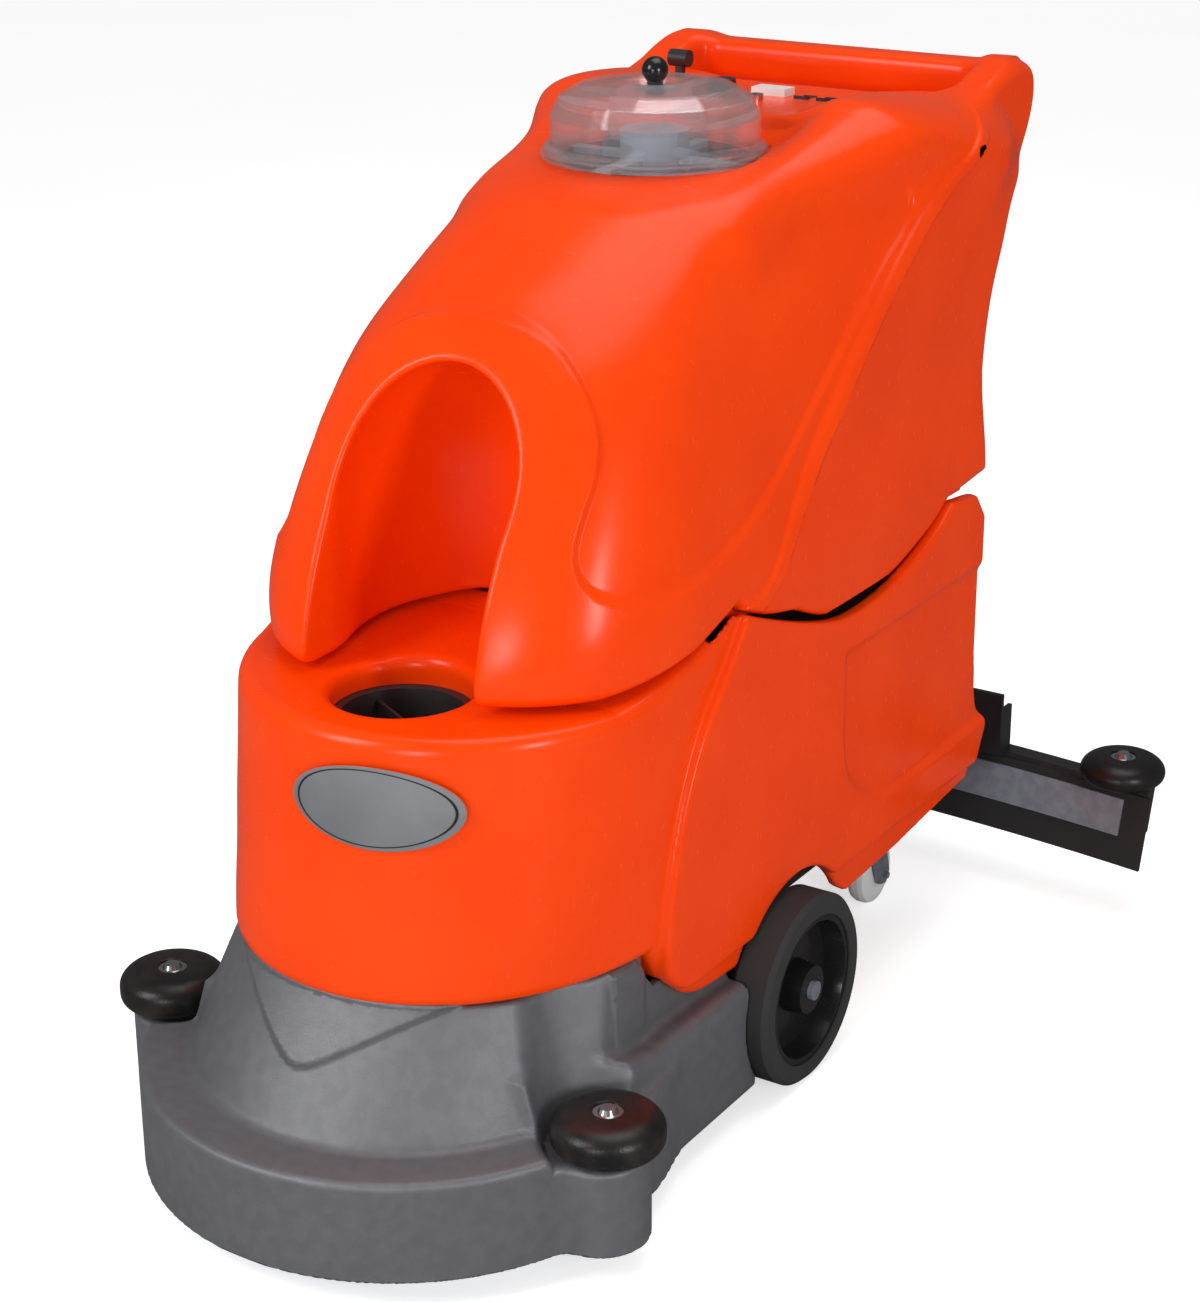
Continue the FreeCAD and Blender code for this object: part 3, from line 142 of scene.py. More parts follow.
def run_gap(start: Point2, end: Point2, across: Grid, up: Grid) -> Grid:
    """Measures the squared distance to one straight run.

    Args:
        start: where the run starts.
        end: where it ends.
        across: first coordinate.
        up: second coordinate.

    Returns:
        The squared distance.
    """
    along_a = end[0] - start[0]
    along_u = end[1] - start[1]
    length = max(along_a * along_a + along_u * along_u, NO_LENGTH)
    share = np.clip(((across - start[0]) * along_a + (up - start[1]) * along_u) / length, 0.0, 1.0)
    gap_a = across - start[0] - share * along_a
    gap_u = up - start[1] - share * along_u
    return gap_a * gap_a + gap_u * gap_u


def outline_distance(points: Sequence[Point2], across: Grid, up: Grid) -> Grid:
    """Measures the distance to a closed outline, negative inside it.

    Args:
        points: the outline's corners, in order.
        across: first coordinate.
        up: second coordinate.

    Returns:
        The signed distance.
    """
    across, up = np.broadcast_arrays(across, up)
    nearest = np.full(across.shape, FAR_AWAY)
    inside = np.zeros(across.shape, bool)
    for start, end in zip(points, list(points[1:]) + [points[0]]):
        if (end[0] - start[0]) * (end[0] - start[0]) + (end[1] - start[1]) * (end[1] - start[1]) < NO_LENGTH:
            continue
        nearest = np.minimum(nearest, run_gap(start, end, across, up))
        if start[1] != end[1]:
            crossing = (end[0] - start[0]) * (up - start[1]) / (end[1] - start[1]) + start[0]
            inside ^= ((start[1] > up) != (end[1] > up)) & (across < crossing)
    return np.where(inside, -1.0, 1.0) * np.sqrt(nearest)


def line_distance(points: Sequence[Point2], across: Grid, up: Grid) -> Grid:
    """Measures the distance to an open run of points.

    Args:
        points: the run's points, in order.
        across: first coordinate.
        up: second coordinate.

    Returns:
        The distance, never negative.
    """
    across, up = np.broadcast_arrays(across, up)
    nearest = np.full(across.shape, FAR_AWAY)
    for start, end in zip(points, points[1:]):
        nearest = np.minimum(nearest, run_gap(start, end, across, up))
    return np.sqrt(nearest)


def prism(outline: Grid, middle: float, half: float, position: Grid, rounding: float) -> Grid:
    """Gives a flat outline a thickness and rounds its edges.

    Args:
        outline: distance to the outline in its own plane.
        middle: middle of the thickness.
        half: half of the thickness.
        position: coordinate along the thickness.
        rounding: radius of the edges.

    Returns:
        The field of the rounded slab.
    """
    flat = outline + rounding
    thick = np.abs(position - middle) - half + rounding
    outside = np.sqrt(np.maximum(flat, 0.0) ** 2 + np.maximum(thick, 0.0) ** 2)
    return outside + np.minimum(np.maximum(flat, thick), 0.0) - rounding


class Curve:
    """A natural cubic through a short table, for sizes that change smoothly with height."""

    def __init__(self, places: Sequence[float], values: Sequence[float]) -> None:
        """Solves the curve's second derivatives.

        Args:
            places: where the table gives a value, rising.
            values: the values there.
        """
        self.places = np.asarray(places, float)
        self.values = np.asarray(values, float)
        count = len(places)
        steps = np.diff(self.places)
        matrix = np.eye(count)
        right = np.zeros(count)
        for index in range(1, count - 1):
            matrix[index, index - 1:index + 2] = (steps[index - 1], 2 * (steps[index - 1] + steps[index]),
                                                  steps[index])
            right[index] = 6 * ((self.values[index + 1] - self.values[index]) / steps[index]
                                - (self.values[index] - self.values[index - 1]) / steps[index - 1])
        self.bends = np.linalg.solve(matrix, right)

    def __call__(self, place: Grid) -> Grid:
        """Reads the curve, held level past its ends.

        Args:
            place: where it is read.

        Returns:
            The values read.
        """
        held = np.clip(place, self.places[0], self.places[-1])
        index = np.clip(np.searchsorted(self.places, held) - 1, 0, len(self.places) - 2)
        low = self.places[index]
        high = self.places[index + 1]
        step = high - low
        left = (high - held) / step
        right = (held - low) / step
        bend = ((left ** 3 - left) * self.bends[index] + (right ** 3 - right) * self.bends[index + 1])
        return left * self.values[index] + right * self.values[index + 1] + bend * step ** 2 / 6


def true_distance(raw: Field, x: Grid, y: Grid, z: Grid, step: float = 0.5) -> Grid:
    """Divides a field by its own slope, so that it measures millimetres near its surface.

    Args:
        raw: the field to correct.
        x: X coordinates.
        y: Y coordinates.
        z: Z coordinates.
        step: distance over which the slope is taken.

    Returns:
        The corrected field.
    """
    here = raw(x, y, z)
    slope = ((raw(x + step, y, z) - here) ** 2 + (raw(x, y + step, z) - here) ** 2
             + (raw(x, y, z + step) - here) ** 2)
    return here * step / np.sqrt(slope + 1e-12)


@dataclass(frozen=True)
class Mesher:
    """Turns a distance field into a mesh whose points and normals lie exactly on it."""

    low: Point3
    high: Point3
    cell: float = 4.0
    triangles: int = 190000

    def sample(self, shape: Field) -> Tuple[Grid, List[Grid]]:
        """Reads the field on a lattice, one half only, because the shells are the same on both sides.

        Args:
            shape: the field.

        Returns:
            The values on the whole lattice and its three coordinate rows.
        """
        steps = int(math.ceil(self.high[0] / self.cell))
        half_row = (np.arange(steps + 1) + 0.5) * self.cell
        rows = [np.concatenate([-half_row[::-1], half_row])]
        for low, high in zip(self.low[1:], self.high[1:]):
            rows.append(np.arange(low, high + self.cell, self.cell))
        slabs = []
        for x in half_row:
            slabs.append(shape(np.full((1, 1, 1), x), rows[1][None, :, None], rows[2][None, None, :])[0])
        half = np.stack(slabs)
        return np.concatenate([half[::-1], half]), rows

    def net(self, values: Grid, rows: List[Grid]) -> Tuple[Grid, Grid]:
        """Places one point in each lattice cell that the surface crosses, and joins them by quads.

        Args:
            values: the field on the lattice.
            rows: the lattice's coordinate rows.

        Returns:
            The points and the quads.
        """
        inside = values < 0
        shape = np.array(values.shape) - 1
        total = np.zeros(tuple(shape) + (3,))
        count = np.zeros(tuple(shape))
        crossings = []
        for axis in range(3):
            near = [slice(None)] * 3
            far = [slice(None)] * 3
            near[axis] = slice(None, -1)
            far[axis] = slice(1, None)
            spots = np.argwhere(inside[tuple(near)] != inside[tuple(far)])
            step = np.zeros(3, int)
            step[axis] = 1
            start = values[tuple(spots.T)]
            end = values[tuple((spots + step).T)]
            share = start / (start - end)
            place = spots.astype(float)
            place[:, axis] += share
            others = [a for a in range(3) if a != axis]
            for first in (0, 1):
                for second in (0, 1):
                    cells = spots.copy()
                    cells[:, others[0]] -= first
                    cells[:, others[1]] -= second
                    good = np.all((cells >= 0) & (cells < shape), axis=1)
                    index = tuple(cells[good].T)
                    np.add.at(total, index, place[good])
                    np.add.at(count, index, 1)
            crossings.append((spots, start < 0, others))
        number = np.full(tuple(shape), -1)
        used = count > 0
        number[used] = np.arange(int(used.sum()))
        lattice = total[used] / count[used][:, None]
        points = np.stack([np.interp(lattice[:, a], np.arange(len(rows[a])), rows[a]) for a in range(3)], 1)
        quads = []
        for axis, (spots, starts_inside, others) in enumerate(crossings):
            good = np.all((spots[:, others] >= 1) & (spots[:, others] < shape[others]), axis=1)
            spots = spots[good]
            starts_inside = starts_inside[good]
            corners = []
            for first, second in ((0, 0), (1, 0), (1, 1), (0, 1)):
                cells = spots.copy()
                cells[:, others[0]] -= first
                cells[:, others[1]] -= second
                corners.append(number[tuple(cells.T)])
            quad = np.stack(corners, 1)
            turn = starts_inside if axis != 1 else ~starts_inside
            quad[~turn] = quad[~turn][:, ::-1]
            quads.append(quad)
        return points, np.concatenate(quads)

    @staticmethod
    def settle(shape: Field, points: Grid, rounds: int = 2, reach: float = 1.2) -> Tuple[Grid, Grid]:
        """Moves points onto the surface along its slope.

        Args:
            shape: the field.
            points: the points to move.
            rounds: how often they are moved.
            reach: longest move of one round.

        Returns:
            The points on the surface and the outward normals there.
        """
        step = 0.05
        points = points.copy()
        normal = np.zeros_like(points)
        for turn in range(rounds + 1):
            x, y, z = (np.ascontiguousarray(points[:, a]) for a in range(3))
            here = shape(x, y, z)
            slope = np.stack([shape(x + step, y, z) - here, shape(x, y + step, z) - here,
                              shape(x, y, z + step) - here], 1) / step
            size = np.linalg.norm(slope, axis=1, keepdims=True) + 1e-9
            normal = slope / size
            move = np.clip(here[:, None] / size, -reach, reach)
            if turn < rounds:
                points -= normal * move
        return points, normal

    def build(self, name: str, shape: Field, hidden: Field) -> bpy.types.Object:
        """Makes the mesh object of a field.

        Args:
            name: the object's name.
            shape: the field, in millimetres.
            hidden: a field that is negative on the inner faces, which are thinned first.

        Returns:
            The object, in metres.
        """
        mesher = self
        values, rows = mesher.sample(shape)
        points, quads = mesher.net(values, rows)
        points, _ = self.settle(shape, points, 1)
        mesh = bpy.data.meshes.new(name)
        mesh.from_pydata((points * MM).tolist(), [], quads.tolist())
        mesh.update()
        piece = linked(name, mesh)
        if 2 * len(quads) > self.triangles:
            inner = piece.vertex_groups.new(name="inner")
            unseen = hidden(*(np.ascontiguousarray(points[:, a]) for a in range(3))) < 0
            inner.add(np.flatnonzero(unseen).tolist(), 1.0, "REPLACE")
            thin = piece.modifiers.new("thin", "DECIMATE")
            thin.vertex_group = inner.name
            thin.ratio = self.triangles / (2 * len(quads))
            apply_modifiers(piece)
            mesh = piece.data
        coordinates = np.empty(len(mesh.vertices) * 3)
        mesh.vertices.foreach_get("co", coordinates)
        points, normals = self.settle(shape, coordinates.reshape(-1, 3) / MM, 1, 0.6)
        mesh.vertices.foreach_set("co", (points * MM).ravel())
        mesh.shade_smooth()
        mesh.update()
        mesh.normals_split_custom_set_from_vertices(normals.tolist())
        return piece


# ------------------------------------------------------------------------------------------------
# Mesh tools
# ------------------------------------------------------------------------------------------------
def linked(name: str, data: bpy.types.ID) -> bpy.types.Object:
    """Makes an object of some data and puts it in the scene.

    Args:
        name: the object's name.
        data: what the object holds.

    Returns:
        The object.
    """
    made = bpy.data.objects.new(name, data)
    bpy.context.scene.collection.objects.link(made)
    return made


def only(piece: bpy.types.Object) -> bpy.types.Object:
    """Makes one object the only selected one.

    Args:
        piece: the object.

    Returns:
        The object.
    """
    bpy.ops.object.select_all(action="DESELECT")
    piece.select_set(True)
    bpy.context.view_layer.objects.active = piece
    return piece


def apply_modifiers(piece: bpy.types.Object) -> None:
    """Applies every modifier of a piece.

    Args:
        piece: the object.
    """
    only(piece)
    for modifier in list(piece.modifiers):
        bpy.ops.object.modifier_apply(modifier=modifier.name)


# ------------------------------------------------------------------------------------------------
# Shells of the two tanks and the deck, in millimetres
# ------------------------------------------------------------------------------------------------
SHELF_Z = 487.0
PLATEAU_Z = 905.0
SEAM_GAP = 1.6
SEAM: List[Point2] = [(-520, 487), (-280, 489), (-170, 507), (-99, 530), (-41, 506), (40, 477), (104, 461),
                      (170, 459), (240, 469), (310, 492), (350, 515)]
UPPER_CREASE: List[Point2] = flowing([(-84, 520), (-35, 540), (24, 605), (101, 686), (179, 768), (262, 832),
                                      (337, 890), (404, 931), (455, 957)], 6)
LOWER_CREASE: List[Point2] = flowing([(-88, 530), (-119, 490), (-172, 429), (-207, 362), (-228, 289),
                                      (-236, 229), (-236, 180)], 6)


@dataclass(frozen=True)
class Plan:
    """Plan section of a tank at each height: a rounded front running into straight sides."""

    heights: Tuple[float, ...]
    fronts: Tuple[float, ...]
    halves: Tuple[float, ...]
    centres: Tuple[float, ...]
    fullness: Tuple[float, ...]

    def raw(self, x: Grid, y: Grid, z: Grid) -> Grid:
        """Field of the section, without a true scale.

        Args:
            x: X coordinates.
            y: Y coordinates.
            z: Z coordinates.

        Returns:
            The field.
        """
        front, half, centre, full = (Curve(self.heights, table)(z) for table in
                                     (self.fronts, self.halves, self.centres, self.fullness))
        along = np.maximum(centre - y, 0.0) / (centre - front)
        across = np.abs(x) / half
        return ((across ** full + along ** full + 1e-12) ** (1 / full) - 1.0) * half

    def distance(self, x: Grid, y: Grid, z: Grid) -> Grid:
        """Field of the section in millimetres."""
        return true_distance(self.raw, x, y, z)


@dataclass
class RecoveryShell:
    """The upper tank: filling alcove, sunk flanks, lid neck, side blades and moulded handle."""

    plan: Plan = Plan((447, 487, 530, 600, 700, 770, 809, 862, 905, 960),
                      (-352, -366, -360, -336, -285, -238, -194, -100, -10, 60),
                      (206, 214, 220, 215, 200, 182, 170, 156, 146, 120),
                      (-160, -160, -150, -140, -100, -60, -20, 40, 108, 150),
                      (2.3, 2.3, 2.5, 2.5, 2.4, 2.3, 2.2, 2.1, 2.0, 2.0))
    blade_inner: float = 168.0
    blade_outer: float = 216.0
    handle: Point3 = (0.0, 508.0, 932.0)
    handle_radius: float = 22.5
    alcove_y: float = -248.0
    alcove_radius: float = 103.0
    alcove_top: float = 770.0
    alcove_spring: float = 640.0
    mouth_half: float = 93.0
    lid_y: float = 108.0
    lid_seat: float = 113.0
    neck_radius: float = 95.0
    flank_depth: float = 5.0
    seam_lens: float = 9.0
    neck_foot: float = 690.0
    shoulder_x: float = 148.0
    shoulder_radius: float = 27.0
    shoulder_blend: float = 64.0
    blade_rounding: float = 13.0
    dash_rounding: float = 8.0
    dash_blend: float = 30.0
    bar_blend: float = 22.0
    bead_height: float = 3.4
    pool_middle: Point3 = (0.0, 140.0, 760.0)
    pool_half: Point3 = (90.0, 120.0, 70.0)
    pool_rounding: float = 50.0

    def flank(self, x: Grid, y: Grid, z: Grid) -> Grid:
        """How far inside the sunk flank a place is, seen along the machine's diagonal."""
        return outline_distance(FLANK_OUTLINE, np.abs(x) + y, z)

    def flare(self, x: Grid, y: Grid, z: Grid) -> Grid:
        """The body's section, widened to the side blade as it nears the crease.

        Args:
            x: X coordinates.
            y: Y coordinates.
            z: Z coordinates.

        Returns:
            The field.
        """
        crease_y = np.interp(z, [spot[1] for spot in UPPER_CREASE], [spot[0] for spot in UPPER_CREASE])
        full = ramp(y - crease_y, -280.0, 15.0)
        half = Curve(self.plan.heights, self.plan.halves)(z)
        squeeze = half / (half + full * np.maximum(self.blade_outer - 6.0 - half, 0.0))
        return self.plan.raw(x * squeeze, y, z)

    def seam_edge(self, y: Grid) -> Grid:
        """Height of the lower edge, lifted where fingers reach under it.

        Args:
            y: Y coordinates.

        Returns:
            The height.
        """
        path = np.array(SEAM)
        lens = self.seam_lens * np.exp(-((y - 20.0) / 42.0) ** 2)
        return np.interp(y, path[:, 0], path[:, 1]) + SEAM_GAP / 2 + lens

    def side_outline(self) -> List[Point2]:
        """Outline of the body from the side, from the seam's front round to the top.

        Returns:
            The outline's points.
        """
        gap = SEAM_GAP / 2
        seam = [(y, z + gap) for y, z in SEAM[:3]] + flowing([(y, z + gap) for y, z in SEAM[3:]], 5)
        back = flowing([(444, 524), (434, 617), (437, 713), (455, 777), (478, 832)], 6)
        return seam + back + [(410, 919), (236, 919), (230, PLATEAU_Z), (-520, PLATEAU_Z)]

    def blade_outline(self) -> List[Point2]:
        """Outline of one side blade with the arm that carries the handle.

        Returns:
            The outline's points.
        """
        gap = SEAM_GAP / 2
        seam = flowing([(y, z + gap) for y, z in SEAM[3:]], 5)
        crest = flowing([(262, 832), (330, 893), (390, 925), (440, 947), (475, 957), (500, 958)], 5)
        tail = flowing([(500, 958), (526, 948), (534, 925), (528, 896), (508, 862), (474, 825), (455, 775),
                        (436, 713), (433, 620), (444, 524)], 5)
        return UPPER_CREASE[6:30] + crest + tail[1:] + list(reversed(seam))

    def alcove(self, x: Grid, y: Grid, z: Grid) -> Grid:
        """The scoop over the filler: a column, its domed top and its mouth.

        Args:
            x: X coordinates.
            y: Y coordinates.
            z: Z coordinates.

        Returns:
            The field.
        """
        top = (self.alcove_top - self.alcove_spring)
        lift = np.maximum(z - self.alcove_spring, 0.0) * (self.alcove_radius / top)
        away = np.sqrt(x ** 2 + (y - self.alcove_y) ** 2 + lift ** 2) - self.alcove_radius
        mouth = np.sqrt(x ** 2 + lift ** 2) - self.mouth_half
        mouth = np.maximum(mouth, y - self.alcove_y)
        return soft_min(away, mouth, 10.0)

    def outer(self, x: Grid, y: Grid, z: Grid) -> Grid:
        """The tank's outside without its openings.

        Args:
            x: X coordinates.
            y: Y coordinates.
            z: Z coordinates.

        Returns:
            The field.
        """
        side = np.abs(x)
        body = true_distance(self.flare, x, y, z)
        depth = self.flank_depth * (1.0 - ramp(z, 838.0, 900.0))
        body = body + depth * (1.0 - ramp(self.flank(x, y, z), -5.5, 5.5))
        profile = outline_distance(self.side_outline(), y, z)
        body = soft_max(body, profile, 16.0 + 26.0 * ramp(z, 840.0, 900.0))
        dash = prism(outline_distance(DASH_OUTLINE, y, z), 0.0, self.blade_inner, x, self.dash_rounding)
        body = soft_min(body, dash, self.dash_blend)
        ridge = line_distance(SHOULDER, y, z)
        outward = side - self.shoulder_x
        spread = np.where(outward > 0, 1.0 + 1.5 * ramp(y, 110.0, 270.0), 1.0)
        shoulder = np.sqrt(ridge ** 2 + (outward / spread) ** 2) - self.shoulder_radius * ramp(y, 60.0, 240.0)
        body = soft_min(body, shoulder, self.shoulder_blend)
        middle = (self.blade_inner + self.blade_outer) / 2
        half = (self.blade_outer - self.blade_inner) / 2
        blade = prism(outline_distance(self.blade_outline(), y, z), middle, half, side,
                      self.blade_rounding)
        body = soft_min(body, blade, 14.0 + 26.0 * ramp(z, 620.0, 800.0) - 18.0 * ramp(z, 880.0, 930.0))
        section = ((y - self.handle[1]) ** 4 + (z - self.handle[2]) ** 4 + 1e-6) ** 0.25 - self.handle_radius
        bar = np.maximum(section, side - middle)
        whole = soft_min(body, bar, self.bar_blend)
        bead = line_distance(UPPER_CREASE, y, z)
        raised = self.bead_height * (1.0 - ramp(bead, 6.0, 10.5)) * ramp(side, 150.0, 190.0)
        whole = whole - raised * (1.0 - ramp(y, 340.0, 395.0))
        return whole

    def distance(self, x: Grid, y: Grid, z: Grid) -> Grid:
        """The finished tank.

        Args:
            x: X coordinates.
            y: Y coordinates.
            z: Z coordinates.

        Returns:
            The field.
        """
        whole = self.outer(x, y, z)
        lift = self.seam_edge(y) - z
        front = 1.0 - ramp(y, -110.0, -40.0)
        edge = soft_max(whole, lift, 5.0 + 11.0 * front)
        lip = np.maximum(np.maximum(np.abs(x) - 203.0, y - 414.0), np.maximum(-130.0 - y, lift - 10.0))
        finger = np.abs(y - 22.0) - 74.0
        whole = np.minimum(edge, soft_max(soft_max(lip, -finger, 4.0), z - 560.0, 4.0))
        whole = soft_max(whole, -self.alcove(x, y, z), 9.0)
        away = np.sqrt(x ** 2 + (y - self.lid_y) ** 2)
        seat = np.maximum(away - self.lid_seat, PLATEAU_Z - 3.0 - z)
        neck = np.maximum(away - self.neck_radius, self.neck_foot - z)
        whole = soft_max(whole, -seat, 2.0)
        whole = soft_max(whole, -neck, 3.0)
        return soft_max(whole, -self.pool(x, y, z), 4.0)

    def pool(self, x: Grid, y: Grid, z: Grid) -> Grid:
        """The space for dirty water under the lid.

        Args:
            x: X coordinates.
            y: Y coordinates.
            z: Z coordinates.

        Returns:
            The field.
        """
        reaches = [np.maximum(np.abs(place - middle) - half, 0) ** 2
                   for place, middle, half in zip((x, y, z), self.pool_middle, self.pool_half)]
        return np.sqrt(reaches[0] + reaches[1] + reaches[2]) - self.pool_rounding

    def hidden(self, x: Grid, y: Grid, z: Grid) -> Grid:
        """Negative on the faces that the outside conceals."""
        return self.pool(x, y, z) - 1.0


FLANK_OUTLINE: List[Point2] = flowing([(-300, 808), (-195, 808), (-151, 804), (-111, 786), (-84, 750),
                                       (-77, 718), (-86, 687), (-107, 656), (-121, 630), (-118, 608),
                                       (-96, 592), (-50, 581), (1, 578), (59, 584), (123, 599), (192, 631),
                                       (244, 670), (298, 713), (360, 765), (407, 802), (446, 828),
                                       (462, 856), (440, 890)], 5) + [(440, 1000), (-300, 1000)]
DASH_OUTLINE: List[Point2] = [(150, 700), (444, 700), (455, 777), (478, 832), (410, 919), (236, 919)]
SHOULDER: List[Point2] = flowing([(20, 838), (100, 872), (170, 899), (232, 914), (298, 908), (350, 893),
                                  (410, 872)], 5)


@dataclass
class SolutionShell:
    """The lower tank: filler shelf, raised side panels, wheel arches and the open battery well."""

    plan: Plan = Plan((130, 238, 280, 320, 360, 400, 440, 470, 487, 545),
                      (-474, -471, -467, -461, -457, -452, -447, -443, -440, -430),
                      (219, 219, 219, 218.5, 218, 217.5, 217, 217, 217, 217),
                      (-205,) * 10, (2.05,) * 10)
    side: float = 227.0
    rear: float = 431.0
    filler_y: float = -328.0
    filler_radius: float = 66.0
    floor_z: float = 206.0
    tunnel_top: float = 200.0
    wall: float = 6.0
    arch: Point3 = (0.0, 14.0, 95.0)
    arch_radius: float = 120.0
    arch_face: float = 205.0
    panel_depth: float = 5.0
    panel_inner: float = 150.0
    filler_foot: float = 398.0
    well_half: float = 211.0
    well_foot: float = 225.0
    well_front: float = -140.0
    pan_half: float = 200.0
    tunnel_half: float = 209.0
    tunnel_front: float = -225.0
    hidden_top: float = 440.0

    def side_outline(self) -> List[Point2]:
        """Outline of the tank from the side.

        Returns:
            The outline's points.
        """
        low = flowing([(-246, 238), (-222, 200), (-180, 166), (-137, 155), (-90, 154)], 6)
        back = flowing([(459, 218), (457, 230), (438, 256), (431, 319)], 6)
        top = [(431, 478), (409, 506), (350, 513.5)]
        seam = flowing([(y, z - SEAM_GAP / 2) for y, z in reversed(SEAM[3:])], 5)
        front = [(y, z - SEAM_GAP / 2) for y, z in reversed(SEAM[:3])]
        return ([(-520, 238)] + low + [(120, 155), (141, 142), (250, 147), (350, 156), (430, 163)]
                + back + top + seam[1:] + front)

    def distance(self, x: Grid, y: Grid, z: Grid) -> Grid:
        """The finished tank.

        Args:
            x: X coordinates.
            y: Y coordinates.
            z: Z coordinates.

        Returns:
            The field.
        """
        side = np.abs(x)
        body = self.plan.distance(x, y, z)
        panel_face = side - self.side
        sunk = outline_distance(SIDE_EMBOSS, y, z)
        panel_face = panel_face + self.panel_depth * (1.0 - ramp(sunk, -7.0, 7.0))
        crease = outline_distance(LOWER_CREASE + [(900, 180), (900, 700), (-88, 700)], y, z)
        panel = soft_max(panel_face, crease, 7.0)
        panel = soft_max(panel, -(side - self.panel_inner), 6.0)
        body = soft_min(body, panel, 5.0)
        profile = outline_distance(self.side_outline(), y, z)
        body = soft_max(body, profile, 6.0 + 8.0 * (1.0 - ramp(y, -130.0, -60.0)))
        hood = np.sqrt((y - self.arch[1]) ** 2 + (z - self.arch[2]) ** 2) - self.arch_radius
        body = soft_max(body, -np.maximum(hood, self.arch_face - side), 5.0)
        away = np.sqrt(x ** 2 + (y - self.filler_y) ** 2)
        filler = np.maximum(away - self.filler_radius, self.filler_foot - z)
        body = soft_max(body, -filler, 12.0)
        ends = np.maximum(self.well_front - y, y - self.rear + self.wall)
        well = soft_max(np.maximum(side - self.well_half, ends), self.well_foot - z, 4.0)
        pan = np.maximum(np.maximum(side - self.pan_half, self.floor_z - z), ends)
        well = np.minimum(well, pan)
        tunnel = np.maximum(np.maximum(side - self.tunnel_half, z - self.tunnel_top), self.tunnel_front - y)
        body = soft_max(body, -well, 3.0)
        return soft_max(body, -tunnel, 3.0)

    def hidden(self, x: Grid, y: Grid, z: Grid) -> Grid:
        """Negative on the faces that the outside conceals."""
        sides = np.maximum(np.abs(x) - (self.well_half + 1.0), self.well_front - 1.0 - y)
        return np.maximum(sides, np.maximum(y - self.rear + (self.wall - 1.0), z - self.hidden_top))


SIDE_EMBOSS: List[Point2] = flowing([(600, 250), (453, 233), (337, 229), (239, 229), (192, 236), (150, 257),
                                     (121, 289), (112, 330)], 6) + [(112, 420), (600, 420)]


